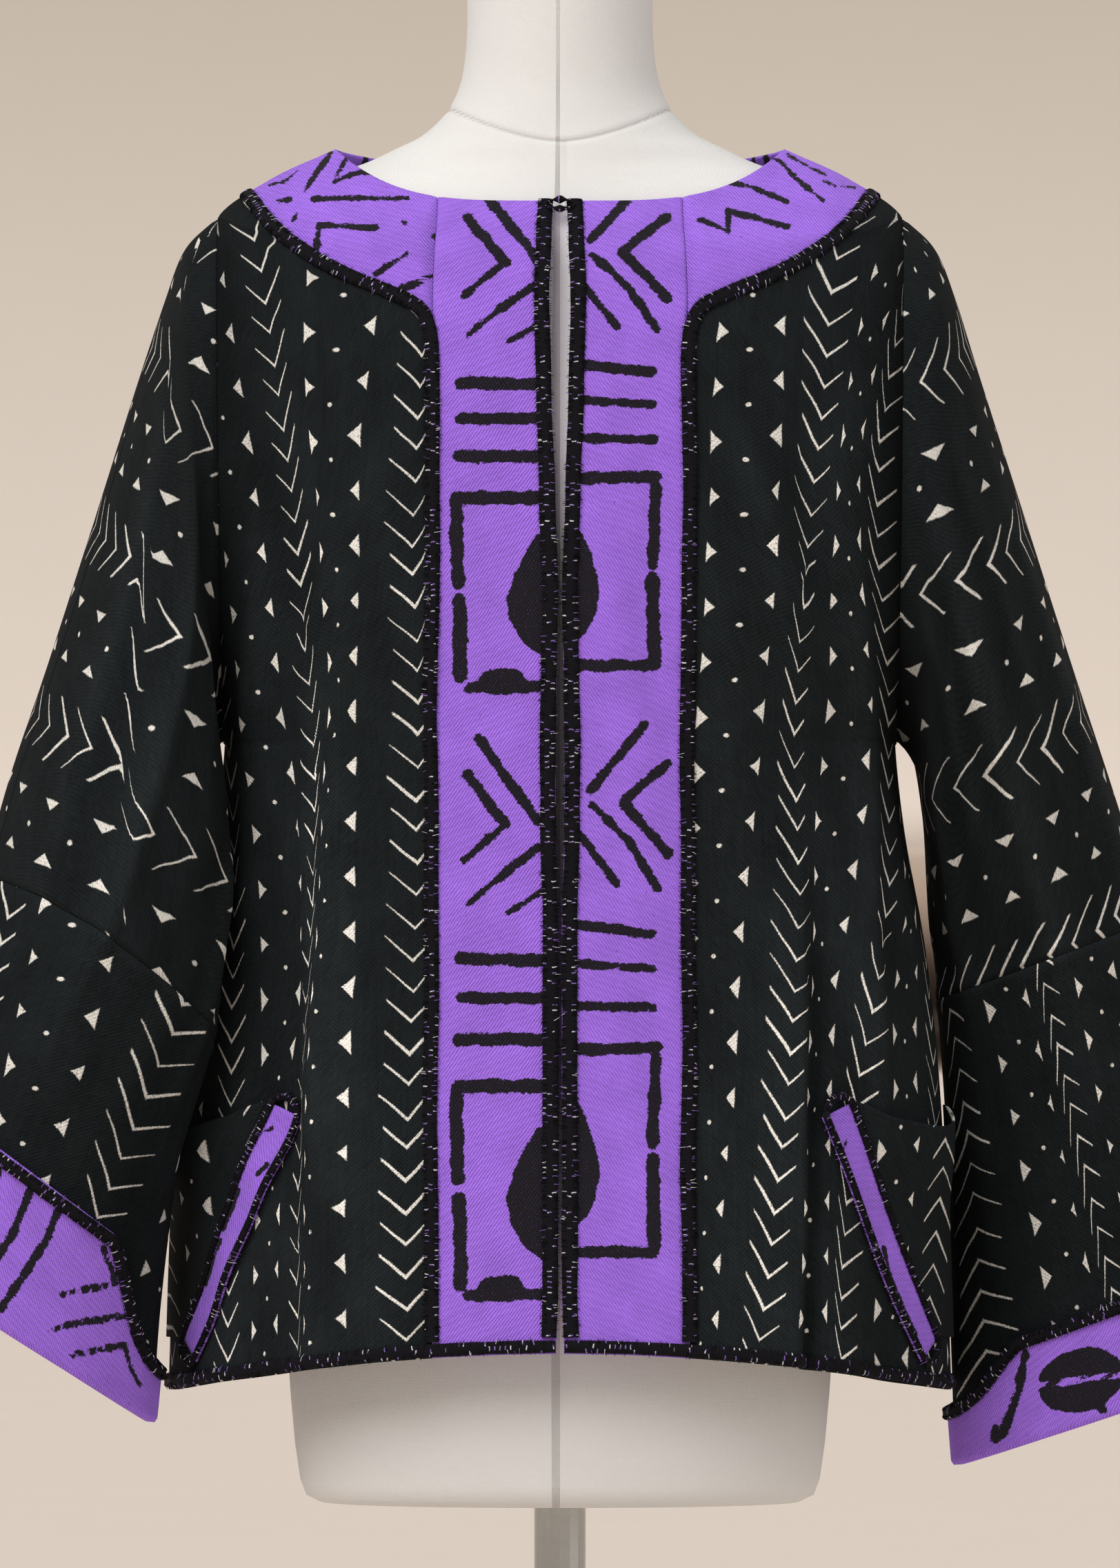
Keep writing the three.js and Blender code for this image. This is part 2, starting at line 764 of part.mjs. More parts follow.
function sleeveWall(side, from, to, rows) {
  return wallGeometry(rows, SLEEVE_TURNS, true, (row, column) => {
    const ring = mix(from, to, row);
    const { point, normal } = sleeveSpot(side, column, ring);
    if (ring === 0) {
      const way = armholeNormal(2 * Math.PI * column);
      normal.set(side * way.x, way.y, way.z);
      point.x += side * SEAM_GAP;
    }
    return [point, point.clone().addScaledVector(normal, -CLOTH)];
  });
}

const PIECING_CLEAR = 0.0025;
const upperSleeve = (side) => sleeveWall(side, 0, PIECING_RING - PIECING_CLEAR, 11);
const lowerSleeve = (side) => sleeveWall(side, PIECING_RING + PIECING_CLEAR, END_RING, 5);

// How deep the cuff is turned back, less at the inner side of the arm.
function cuffDepth(side, turn) {
  const inwards = smooth((-Math.cos(2 * Math.PI * turn) - 0.6) / 0.4);
  const depth = side < 0 ? CUFF_DEPTH_LEFT : CUFF_DEPTH_RIGHT;
  return mix(depth, CUFF_INNER_DEPTH, inwards);
}

// A spot up the cuff: share of its depth from the end of the sleeve.
function cuffSpot(side, turn, share) {
  const depth = share * cuffDepth(side, turn);
  const ring = END_RING - (depth * (END_RING - CUFF_RING)) / END_RING_LENGTH;
  return sleeveSpot(side, turn, ring);
}

function cuffGeometry(side) {
  const turns = SLEEVE_TURNS;
  const count = CUFF_SECTION.length;
  const points = [];
  for (let i = 0; i < turns; i++) {
    const end = cuffSpot(side, i / turns, 0);
    const before = cuffSpot(side, i / turns, 0.1);
    const past = end.point.clone().sub(before.point).normalize();
    for (const { up, over } of CUFF_SECTION) {
      const spot = cuffSpot(side, i / turns, Math.max(0, up));
      const point = spot.point.clone().addScaledVector(spot.normal, over);
      points.push(up < 0 ? point.addScaledVector(past, -up) : point);
    }
  }
  const at = (i, j) => (i % turns) * count + (j % count);
  const faces = [];
  for (let i = 0; i < turns; i++) {
    for (let j = 0; j < count; j++) {
      faces.push(...quad(at(i, j), at(i, j + 1), at(i + 1, j + 1), at(i + 1, j)));
    }
  }
  return solidGeometry(points, faces);
}

function cuffBinding(side) {
  const turns = SLEEVE_TURNS;
  const topOver = CUFF_SECTION[0].over;
  const spots = [];
  for (let i = 0; i < turns; i++) {
    spots.push(cuffSpot(side, i / turns, 0.955));
  }
  const section = ribbonSection(8, topOver + 2 * LAYER_GAP, BINDING_HEIGHT);
  return sweepGeometry(ribbonStations(spots, true), section, true);
}

const mirrorTurn = (spot, side) => bodySpot(-1, side * spot.turn, spot.station);

// The binding along the collar's outer edge, which runs on down the band to the hem.
function collarBinding(side) {
  const spots = [];
  for (let i = FRONT_COLUMNS; i >= 1; i--) {
    const spot = onCurve(collarFront, (i / FRONT_COLUMNS) * COLLAR_BINDING_END);
    spots.push(mirrorTurn(spot, side));
  }
  const lowStation = locate(-1, BAND_HALF, hemZ(BAND_HALF) + HEM_CLEAR).station;
  const downSteps = 14;
  for (let i = 0; i <= downSteps; i++) {
    const station = mix(bandTopStation - 0.12, lowStation, i / downSteps);
    spots.push(mirrorTurn({ turn: bandTurn(station, 0), station }, side));
  }
  const section = ribbonSection(BINDING_WIDTH, COLLAR_BINDING_LIFT, BINDING_HEIGHT);
  return sweepGeometry(ribbonStations(spots, false), section, false);
}

function collarBackBinding() {
  const steps = BACK_COLUMNS;
  const spots = [];
  for (let i = 0; i <= steps; i++) {
    const share = mix(-COLLAR_BINDING_END, COLLAR_BINDING_END, i / steps);
    const spot = onCurve(collarBack, 1 - Math.abs(share));
    spots.push(bodySpot(1, Math.sign(share) * spot.turn, spot.station));
  }
  const section = ribbonSection(BINDING_WIDTH, COLLAR_BINDING_LIFT, BINDING_HEIGHT);
  return sweepGeometry(ribbonStations(spots, false), section, false);
}

function frontBinding(side) {
  const steps = 20;
  const lowStation = locate(-1, 1, hemZ(1) + HEM_CLEAR).station;
  const spots = [];
  for (let i = 0; i <= steps; i++) {
    const station = mix(lowStation, NECK_STATION, i / steps);
    const turn = openingTurn(station, FRONT_BINDING_WIDTH / 2);
    spots.push(bodySpot(-1, side * turn, station));
  }
  const section = ribbonSection(FRONT_BINDING_WIDTH, LAYER_GAP, BINDING_HEIGHT);
  return sweepGeometry(ribbonStations(spots, false), section, false);
}

// Height of the hem's edge at an x on the front.
const hemZ = (x) => bodyPoint(-1, turnAt(-1, 0, x), 0).z;

// The roll along the hem, through the same turns as the panel that it is sewn to.
function hemRoll(face, turns) {
  const station = (HEM_WIDTH / 2 + 0.5) / (BODY[1].frontZ - BODY[0].frontZ);
  const section = ribbonSection(HEM_WIDTH, LAYER_GAP, HEM_HEIGHT);
  const spots = turns.map((turn) => bodySpot(face, turn, station));
  return sweepGeometry(ribbonStations(spots, false), section, false);
}

function frontHem(side) {
  const panelTurn = turnAt(-1, 0, BAND_HALF + SEAM_GAP / 2);
  const turns = [openingTurn(0, 0.2), panelTurn / 2];
  for (let i = 0; i <= FRONT_COLUMNS; i++) {
    turns.push(mix(panelTurn, HEM_END_TURN, i / FRONT_COLUMNS));
  }
  return hemRoll(
    -1,
    turns.map((turn) => side * turn),
  );
}

function backHem() {
  const turns = [];
  for (let i = 0; i <= BACK_COLUMNS; i++) {
    turns.push(mix(-HEM_END_TURN, HEM_END_TURN, i / BACK_COLUMNS));
  }
  return hemRoll(1, turns);
}

// The pocket strip's middle line, from its top to its low end.
function stripSpot(share) {
  const x = mix(STRIP_TOP.x, STRIP_LOW.x, share);
  const z = mix(STRIP_TOP.z, STRIP_LOW.z, share);
  return locate(-1, x, z);
}

function stripStations(side, steps) {
  const spots = [];
  for (let i = 0; i <= steps; i++) spots.push(mirrorTurn(stripSpot(i / steps), side));
  return ribbonStations(spots, false);
}

function pocketStrip(side) {
  const half = STRIP_WIDTH / 2;
  const section = [
    [-half, STRIP_LIFT],
    [-half, STRIP_LIFT + CLOTH],
    [half, STRIP_LIFT + CLOTH],
    [half, STRIP_LIFT],
  ];
  return sweepGeometry(stripStations(side, STRIP_STEPS), section, false);
}

// The binding round the pocket strip: down one side, round its end and up the other.
function stripBinding(side) {
  const stations = stripStations(side, STRIP_STEPS);
  const reach = STRIP_WIDTH / 2 - 1.8;
  const spots = [];
  const sideSpots = (list, sign) => {
    for (const { point, across, up } of list) {
      spots.push({ point: point.clone().addScaledVector(across, sign * reach), normal: up });
    }
  };
  const roundEnd = (station, sign, way) => {
    const onward = new THREE.Vector3().crossVectors(station.up, station.across).multiplyScalar(way);
    for (const angle of [45, 90, 135]) {
      const turn = THREE.MathUtils.degToRad(angle);
      const point = station.point
        .clone()
        .addScaledVector(station.across, sign * reach * Math.cos(turn))
        .addScaledVector(onward, reach * 0.7 * Math.sin(turn));
      spots.push({ point, normal: station.up });
    }
  };
  sideSpots(stations, 1);
  roundEnd(stations.at(-1), 1, 1);
  sideSpots([...stations].reverse(), -1);
  roundEnd(stations[0], -1, -1);
  const base = STRIP_LIFT + CLOTH + LAYER_GAP;
  const section = ribbonSection(STRIP_BINDING_WIDTH, base, BINDING_HEIGHT);
  return sweepGeometry(ribbonStations(spots, true), section, true);
}

// A patch pocket between its slanted strip and the side seam, with a drooping open top.
function pocketPanel(side) {
  const stations = stripStations(1, STRIP_STEPS);
  const clear = STRIP_WIDTH / 2 + SEAM_GAP;
  const slant = stations.map(({ point, across }) => {
    const outwards = across.clone().multiplyScalar(Math.sign(across.x));
    const spot = point.clone().addScaledVector(outwards, clear);
    return locate(-1, spot.x, spot.z);
  });
  const top = (column) => {
    const start = slant[0];
    const turn = mix(start.turn, EDGE_TURN - 0.004, column);
    const z = POCKET_TOP_Z - POCKET_DROOP * Math.sin(Math.PI * column) ** 1.5;
    const x = bodyPlainX(-1, turn, start.station);
    return { turn, station: mix(start.station, locate(-1, x, z).station, smooth(column * 6)) };
  };
  const low = (column) => {
    const start = slant.at(-1);
    return { turn: mix(start.turn, EDGE_TURN - 0.004, column), station: start.station };
  };
  const place = patch(
    (row) => onCurve(slant, 1 - row),
    (row) => ({
      turn: EDGE_TURN - 0.004,
      station: mix(low(1).station, top(1).station, row),
    }),
    low,
    top,
  );
  const gape = (row, column) =>
    LAYER_GAP + POCKET_GAPE * smooth((row - 0.45) / 0.55) * Math.sin(Math.PI * column) ** 1.2;
  return bodyWall(
    -1,
    8,
    8,
    (row, column) => {
      const spot = place(row, column);
      return { turn: side * spot.turn, station: spot.station };
    },
    (row, column) => gape(row, column) + CLOTH,
    gape,
  );
}

// The thread loop that holds the front edges together at the neck.
function threadLoop() {
  const ringRadius = 6.5;
  const threadRadius = 0.9;
  const ring = new THREE.TorusGeometry(ringRadius, threadRadius, 6, 14);
  ring.deleteAttribute("normal");
  ring.deleteAttribute("uv");
  ring.scale(1.35, 0.55, 1);
  const { point, normal } = bodySpot(-1, 0, 11.75);
  const over = LAYER_GAP + BINDING_HEIGHT + SEAM_GAP + threadRadius;
  const mesh = addMesh("thread_loop", ring, COLOUR.binding);
  mesh.quaternion.setFromUnitVectors(new THREE.Vector3(0, 0, 1), normal);
  mesh.position.copy(point).addScaledVector(normal, over);
}

function formTorso() {
  const around = 28;
  const rings = 18;
  const points = [];
  for (let i = 0; i <= rings; i++) {
    const row = ((FORM.length - 1) * i) / rings;
    for (let j = 0; j < around; j++) {
      const angle = (2 * Math.PI * j) / around;
      const square = along(FORM, "square", row);
      const depth = along(FORM, Math.cos(angle) > 0 ? "front" : "back", row);
      const wide = Math.abs(Math.sin(angle)) / along(FORM, "halfWidth", row);
      const deep = Math.abs(Math.cos(angle)) / depth;
      const radius = (wide ** square + deep ** square) ** (-1 / square);
      points.push(
        new THREE.Vector3(
          radius * Math.sin(angle),
          -radius * Math.cos(angle),
          along(FORM, "z", row),
        ),
      );
    }
  }
  const low = points.push(new THREE.Vector3(0, 0, TORSO_LOW_Z)) - 1;
  const top = points.push(new THREE.Vector3(0, 0, NECK_TOP_Z)) - 1;
  const at = (i, j) => i * around + (j % around);
  const faces = [];
  for (let i = 0; i < rings; i++) {
    for (let j = 0; j < around; j++) {
      faces.push(...quad(at(i, j), at(i, j + 1), at(i + 1, j + 1), at(i + 1, j)));
    }
  }
  for (let j = 0; j < around; j++) {
    faces.push([low, at(0, j + 1), at(0, j)]);
    faces.push([top, at(rings, j), at(rings, j + 1)]);
  }
  return solidGeometry(points, faces);
}

// A turned piece from radius and height rows, standing on the Z axis.
function turnedGeometry(profile, steps) {
  const geometry = new THREE.LatheGeometry(
    profile.map(([radius, height]) => new THREE.Vector2(radius, height)),
    steps,
  );
  geometry.deleteAttribute("normal");
  geometry.deleteAttribute("uv");
  geometry.rotateX(Math.PI / 2);
  return geometry;
}

function addStand() {
  const foot = [
    [0, 0],
    [FOOT_RADIUS - 2, 0],
    [FOOT_RADIUS, 3],
    [FOOT_RADIUS, 9],
    [FOOT_RADIUS - 8, 14],
    [60, FOOT_HEIGHT],
    [0, FOOT_HEIGHT],
  ];
  const pole = [
    [0, FOOT_HEIGHT + SEAM_GAP],
    [34, FOOT_HEIGHT + SEAM_GAP],
    [34, FOOT_HEIGHT + 16],
    [POLE_RADIUS + 2, FOOT_HEIGHT + 30],
    [POLE_RADIUS, FOOT_HEIGHT + 40],
    [POLE_RADIUS, TORSO_LOW_Z - SEAM_GAP],
    [0, TORSO_LOW_Z - SEAM_GAP],
  ];
  const cap = [
    [0, NECK_TOP_Z + SEAM_GAP],
    [NECK_RADIUS - 1, NECK_TOP_Z + SEAM_GAP],
    [NECK_RADIUS + 1, NECK_TOP_Z + 3],
    [NECK_RADIUS + 1, NECK_TOP_Z + 7],
    [NECK_RADIUS - 6, NECK_TOP_Z + 12],
    [26, NECK_TOP_Z + CAP_HEIGHT - 1],
    [0, NECK_TOP_Z + CAP_HEIGHT],
  ];
  addMesh("form_foot", turnedGeometry(foot, 32), COLOUR.steel, 0.45, 0.6);
  addMesh("form_pole", turnedGeometry(pole, 16), COLOUR.steel, 0.35, 0.8);
  addMesh("form_torso", formTorso(), COLOUR.linen);
  addMesh("form_neck_cap", turnedGeometry(cap, 20), COLOUR.linen);
}

function addJacket() {
  const sides = { left: -1, right: 1 };
  for (const [word, side] of Object.entries(sides)) {
    addMesh(`front_${word}`, frontPanel(side), COLOUR.mudCloth);
    addMesh(`band_${word}`, bandPanel(side), COLOUR.purple);
    addMesh(`collar_${word}`, collarFrontPanel(side), COLOUR.purple);
    addMesh(`sleeve_upper_${word}`, upperSleeve(side), COLOUR.mudCloth);
    addMesh(`sleeve_lower_${word}`, lowerSleeve(side), COLOUR.mudCloth);
    addMesh(`cuff_${word}`, cuffGeometry(side), COLOUR.purple);
    addMesh(`pocket_${word}`, pocketPanel(side), COLOUR.mudCloth);
    addMesh(`pocket_strip_${word}`, pocketStrip(side), COLOUR.purple);
    addMesh(`binding_collar_${word}`, collarBinding(side), COLOUR.binding);
    addMesh(`binding_front_${word}`, frontBinding(side), COLOUR.binding);
    addMesh(`binding_cuff_${word}`, cuffBinding(side), COLOUR.binding);
    addMesh(`binding_strip_${word}`, stripBinding(side), COLOUR.binding);
    addMesh(`hem_front_${word}`, frontHem(side), COLOUR.binding);
  }
  addMesh("back", backPanel(), COLOUR.mudCloth);
  addMesh("collar_back", collarBackPanel(), COLOUR.purple);
  addMesh("binding_collar_back", collarBackBinding(), COLOUR.binding);
  addMesh("hem_back", backHem(), COLOUR.binding);
  threadLoop();
}

addStand();
addJacket();

export default part;
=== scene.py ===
"""Mud cloth jacket on a dress form: cloth shells, bindings, threads and materials.

The surfaces follow the same sections as the solids. All sizes are millimetres, and points
become metres when a mesh is made. Front is -Y. In names, left is at negative X.
"""

import json
import math

import bpy
import numpy as np
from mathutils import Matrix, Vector

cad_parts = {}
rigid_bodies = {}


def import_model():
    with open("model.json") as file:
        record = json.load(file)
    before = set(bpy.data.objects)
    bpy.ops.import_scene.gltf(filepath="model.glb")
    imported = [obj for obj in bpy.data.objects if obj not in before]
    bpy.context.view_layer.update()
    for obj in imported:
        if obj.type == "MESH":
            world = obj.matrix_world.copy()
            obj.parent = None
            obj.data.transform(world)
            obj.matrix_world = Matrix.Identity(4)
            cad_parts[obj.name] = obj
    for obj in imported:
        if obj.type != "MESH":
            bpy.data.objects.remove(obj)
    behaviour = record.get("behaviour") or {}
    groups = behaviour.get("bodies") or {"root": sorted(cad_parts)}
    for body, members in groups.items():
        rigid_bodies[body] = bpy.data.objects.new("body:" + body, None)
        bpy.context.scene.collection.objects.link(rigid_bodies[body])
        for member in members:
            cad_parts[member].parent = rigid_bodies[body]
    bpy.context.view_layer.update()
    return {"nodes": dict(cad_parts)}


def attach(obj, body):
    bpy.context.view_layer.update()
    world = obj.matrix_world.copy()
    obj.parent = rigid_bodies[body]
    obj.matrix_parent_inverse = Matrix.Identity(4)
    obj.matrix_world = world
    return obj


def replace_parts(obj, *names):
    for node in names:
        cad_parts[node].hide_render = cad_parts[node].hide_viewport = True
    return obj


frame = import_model()

WORD = {-1: "left", 1: "right"}
MM = 0.001
CLOTH = 1.5
SEAM_GAP = 0.3
SEAM_STATION = 0.004
SEAM_TURN = 0.0006
LAYER_GAP = 0.5
STRIP_LIFT = 0.9
STRIP_CLOTH = 2.0
COLLAR_BINDING_LIFT = 0.8
COLLAR_BINDING_END = 0.985

BAND_HALF = 79
BAND_TOP_HALF = 76
BAND_TOP_Z = 1284
COLLAR_SHOULDER_X = 195

BINDING_WIDTH = 9
BINDING_HEIGHT = 1.9
FRONT_BINDING_WIDTH = 9.5
HEM_WIDTH = 8
HEM_HEIGHT = 2.4
HEM_CLEAR = 10

POCKET_TOP_Z = 809
POCKET_DROOP = 13
POCKET_GAPE = 12
STRIP_WIDTH = 26
STRIP_BINDING_WIDTH = 4.8
CUFF_BINDING_WIDTH = 8
BINDING_STEP = 2.4
THREADS_APART = 1.5
HEM_THREADS_APART = 4.5
HEM_END_TURN = 0.985

CUFF_DEPTH = {-1: 106, 1: 70}
CUFF_INNER_DEPTH = 36
END_RING_LENGTH = 85

UNDERARM_STATION = 5
SHOULDER_STATION = 10
NECK_STATION = 12
UNDER_ARM_LOW_Z = 860
UNDER_ARM_TALL = 160
SIDE_SEAM_STEPS = 8
ARMHOLE_STEPS = 12
EDGE_TURN = 1 - SEAM_TURN

TORSO_LOW_Z = 562
NECK_TOP_Z = 1506
NECK_RADIUS = 58
NECK_SEAM_Z = 1429
FORM_SEAM_X = 2

rng = np.random.default_rng(7)


def table(names, rows):
    """Rows of numbers as a dictionary of named columns."""
    values = np.array(rows, float)
    return {name: values[:, i] for i, name in enumerate(names.split())}


# The body, a row for each level from the hem to the neckline.
BODY = table(
    "front_z front_depth back_z back_depth edge_x edge_z square rise",
    [
        [659, 172, 644, 172, 244, 632, 2.3, 2],
        [745, 167, 734, 166, 241, 728, 2.3, 2],
        [830, 161, 822, 160, 237, 818, 2.3, 2],
        [915, 156, 908, 153, 228, 905, 2.3, 2],
        [985, 152, 980, 147, 215, 978, 2.3, 2],
        [1040, 149, 1036, 143, 209, 1034, 2.3, 2],
        [1080, 147, 1078, 141, 210, 1065, 2.3, 2],
        [1150, 143, 1150, 138, 211, 1147, 2.3, 2],
        [1228, 136, 1232, 131, 213, 1249, 2.3, 2],
        [1292, 125, 1300, 121, 214, 1331, 2.3, 2.4],
        [1332, 113, 1343, 110, 214, 1362, 2.3, 3],
        [1352, 101, 1371, 97, 181, 1386, 2.2, 3.6],
        [1370, 88, 1397, 84, 140, 1405, 2.1, 4],
    ],
)

# Half the opening between the front edges, by height.
OPENING = table(
    "z half",
    [
        [650, 2.6],
        [700, 1.2],
        [930, 1.2],
        [974, 2.6],
        [1028, 2.9],
        [1080, 2.2],
        [1125, 1.2],
        [1190, 3.2],
        [1250, 5.2],
        [1312, 6.6],
        [1350, 5.2],
        [1372, 4.2],
    ],
)

COLLAR_FRONT_EDGE = table(
    "x z",
    [
        [BAND_HALF, BAND_TOP_Z],
        [86, 1302],
        [106, 1313],
        [130, 1323],
        [154, 1336],
        [178, 1355],
        [COLLAR_SHOULDER_X, 1377],
    ],
)
COLLAR_BACK_EDGE = table(
    "x z",
    [
        [COLLAR_SHOULDER_X, 1377],
        [184, 1356],
        [160, 1333],
        [120, 1314],
        [62, 1304],
        [0, 1301],
    ],
)

# Soft folds of the body: the line of each from its top to its low end, in front view. Sharp
# is how narrow its outer slope is, next to its inner one.
BODY_FOLDS = table(
    "face top_x top_z low_x low_z width height sharp",
    [
        [-1, -148, 1130, -150, 760, 20, 8, 0.5],
        [-1, 148, 1040, 141, 560, 20, 9, 0.32],
        [-1, 162, 990, 150, 560, 5, -4, 1],
        [-1, -160, 1060, -160, 800, 5, -3, 1],
        [-1, -112, 900, -118, 540, 26, 4, 1],
        [-1, 112, 880, 106, 540, 24, 3.5, 1],
        [-1, 184, 1190, 197, 800, 13, 6, 0.5],
        [-1, -186, 1210, -196, 900, 13, 6, 0.5],
        [-1, -96, 1250, -176, 1050, 12, 2.2, 0.8],
        [-1, 98, 1255, 178, 1060, 12, 2.4, 0.8],
        [-1, 118, 1210, 168, 960, 11, 2, 0.8],
        [-1, -122, 1180, -168, 940, 12, 2, 0.8],
        [-1, -186, 800, -214, 590, 14, 3.5, 0.7],
        [1, -128, 1120, -150, 540, 30, 8, 0.7],
        [1, 122, 1160, 138, 540, 30, 8, 0.7],
        [1, -14, 960, -22, 540, 34, 6, 1],
        [1, 60, 1270, 84, 980, 24, 3.5, 0.8],
        [1, -70, 1250, -120, 1000, 16, 3, 0.7],
        [1, 150, 1220, 176, 900, 14, 4, 0.6],
        [1, -160, 1200, -188, 880, 14, 4, 0.6],
        [1, 70, 900, 80, 560, 22, 4, 1],
    ],
)

# Long soft unevenness of the cloth, as waves across and down it.
RIPPLES = rng.uniform([38, 170, 0, 0.22], [104, 520, 6.28, 0.62], (13, 4))
RIPPLE_SLOPES = rng.uniform(-0.22, 0.22, 13)

SLEEVE_COLUMNS = "outer_x outer_z inner_x inner_z depth forward lean"
SLEEVE = {
    1: table(
        SLEEVE_COLUMNS,
        [
            [214, 1362, 210, 1034, 92, 0, 0],
            [234, 1342, 215, 1031, 97, 0, 0],
            [247, 1310, 219, 1024, 99, 0, 0],
            [262, 1262, 223, 1008, 98, -1, 0],
            [290, 1175, 227, 978, 93, -5, 0],
            [319, 1085, 230, 944, 88, -14, 0],
            [346, 1004, 233, 912, 84, -26, 0],
            [371, 925, 239, 876, 82, -36, 0],
            [397, 838, 249, 792, 77, -44, 0],
            [428, 735, 254, 668, 70, -48, 0],
            [452, 655, 256, 588, 66, -48, 0],
        ],
    ),
    -1: table(
        SLEEVE_COLUMNS,
        [
            [214, 1362, 210, 1034, 92, 0, 0],
            [234, 1342, 215, 1031, 97, 0, 0.04],
            [246, 1310, 219, 1024, 98, 4, 0.1],
            [260, 1262, 221, 1010, 94, 13, 0.2],
            [284, 1175, 219, 982, 88, 34, 0.32],
            [310, 1090, 216, 947, 82, 58, 0.38],
            [334, 1018, 219, 907, 78, 74, 0.4],
            [354, 950, 227, 856, 75, 84, 0.38],
            [380, 880, 246, 775, 72, 84, 0.22],
            [406, 803, 255, 692, 69, 78, 0.06],
            [433, 733, 258, 620, 67, 74, 0],
        ],
    ),
}
PIECING_RING = 7
PIECING_HALF_GAP = 0.0025
SLEEVE_ROUND = 560
SLEEVE_RING_TALL = 60
CUFF_RING = 9
END_RING = 10
PIECING_RIDGE = 1.5

# Lengthwise folds of the sleeves, by the turn of the crest at their top and low ends. Sharp
# is how narrow the slope on the side of the larger turns is.
SLEEVE_FOLDS = table(
    "side turn low_turn width height start end sharp",
    [
        [-1, 0.235, 0.2, 0.035, 9, 0.4, 8.8, 0.4],
        [1, 0.255, 0.24, 0.035, 8, 0.4, 8.4, 0.45],
        [-1, 0.39, 0.4, 0.03, 7, 1.6, 9, 0.6],
        [1, 0.38, 0.39, 0.03, 6, 2.0, 9, 0.6],
        [-1, 0.74, 0.74, 0.04, 7, 1.2, 8.2, 0.6],
        [1, 0.76, 0.76, 0.04, 7, 1.0, 8.4, 0.6],
        [-1, 0.1, 0.12, 0.03, 5, 2.0, 7.8, 0.5],
        [1, 0.1, 0.09, 0.03, 5, 2.2, 8.0, 0.5],
        [-1, 0.31, 0.3, 0.02, 4, 0.8, 5.6, 0.7],
        [1, 0.32, 0.31, 0.02, 4.5, 0.6, 6.6, 0.6],
        [1, 0.18, 0.16, 0.018, 4, 2.0, 6.6, 0.6],
        [-1, 0.62, 0.64, 0.03, 5, 1.6, 8.4, 0.7],
        [1, 0.64, 0.66, 0.03, 5, 1.8, 8.4, 0.7],
        [-1, 0.5, 0.5, 0.09, 12, 2.6, 12, 1],
        [1, 0.5, 0.5, 0.09, 10, 6.2, 12, 1],
        [-1, 0.88, 0.86, 0.03, 4, 1.8, 7.4, 0.7],
        [1, 0.9, 0.88, 0.03, 4, 2.0, 7.6, 0.7],
    ],
)

# The cuff's section: share of its depth up the sleeve, or mm past the end where negative,
# and height over the sleeve's outer face.
CUFF_SECTION = table(
    "up over",
    [
        [1, 3.8],
        [0.5, 3.4],
        [0.03, 3],
        [-2.6, 1.4],
        [-2.6, -3.4],
        [0.03, -4.8],
        [0.3, -4.8],
        [0.3, -2.8],
        [-0.8, -2.8],
        [-0.8, 0.8],
        [0.5, 1.3],
        [1, 1.7],
    ],
)

# The dress form, a row for each level from its low end to its neck.
FORM = table(
    "z half_width front back square",
    [
        [TORSO_LOW_Z, 150, 112, 118, 2.2],
        [TORSO_LOW_Z + 14, 162, 122, 128, 2.2],
        [660, 170, 128, 136, 2.2],
        [760, 172, 127, 136, 2.2],
        [860, 154, 116, 118, 2.2],
        [960, 126, 104, 98, 2.2],
        [1040, 130, 110, 98, 2.2],
        [1120, 144, 126, 108, 2.2],
        [1190, 154, 131, 116, 2.2],
        [1250, 160, 123, 116, 2.2],
        [1300, 176, 110, 108, 2.2],
        [1343.2, 190, 97, 96, 2.1],
        [1365.2, 189, 84, 84, 2.0],
        [1378.2, 176, 77, 78, 1.9],
        [1387.2, 152, 73, 74, 1.8],
        [1395.2, 124, 70, 71, 1.8],
        [1405.2, 102, 67, 68, 1.9],
        [1414, 85, 64, 65, 2.0],
        [1429, 70, 61, 62, 2.0],
        [1448, 61.5, 58.5, 59.5, 2.0],
        [1476, NECK_RADIUS, NECK_RADIUS, NECK_RADIUS, 2.0],
        [NECK_TOP_Z, NECK_RADIUS, NECK_RADIUS, NECK_RADIUS, 2.0],
    ],
)


def mix(a, b, share):
    return a + (b - a) * share


def smooth(value):
    share = np.clip(value, 0, 1)
    return share * share * (3 - 2 * share)


def bell(value, width):
    """One at 0, falling softly to nothing at about twice the width."""
    return np.exp(-((value / width) ** 2))


def unit(vectors):
    return vectors / np.linalg.norm(vectors, axis=-1, keepdims=True)


def along(rows, name, position):
    """A smooth curve through a table's column, at fractional rows."""
    values = rows[name]
    position = np.asarray(position, float)
    last = len(values) - 1
    row = np.clip(np.floor(position).astype(int), 0, last - 1)
    share = position - row
    a = values[np.maximum(row - 1, 0)]
    b = values[row]
    c = values[row + 1]
    d = values[np.minimum(row + 2, last)]
    slope_in = np.where(row == 0, c - b, (c - a) / 2)
    slope_out = np.where(row == last - 1, c - b, (d - b) / 2)
    square = share * share
    cube = square * share
    return (
        (2 * cube - 3 * square + 1) * b
        + (cube - 2 * square + share) * slope_in
        + (3 * square - 2 * cube) * c
        + (cube - square) * slope_out
    )


def at_height(rows, name, z):
    """The value of a column at a height, for a table whose rows climb."""
    levels = rows["z"]
    row = np.clip(np.searchsorted(levels, z, side="left") - 1, 0, len(levels) - 2)
    share = smooth((z - levels[row]) / (levels[row + 1] - levels[row]))
    return mix(rows[name][row], rows[name][row + 1], share)


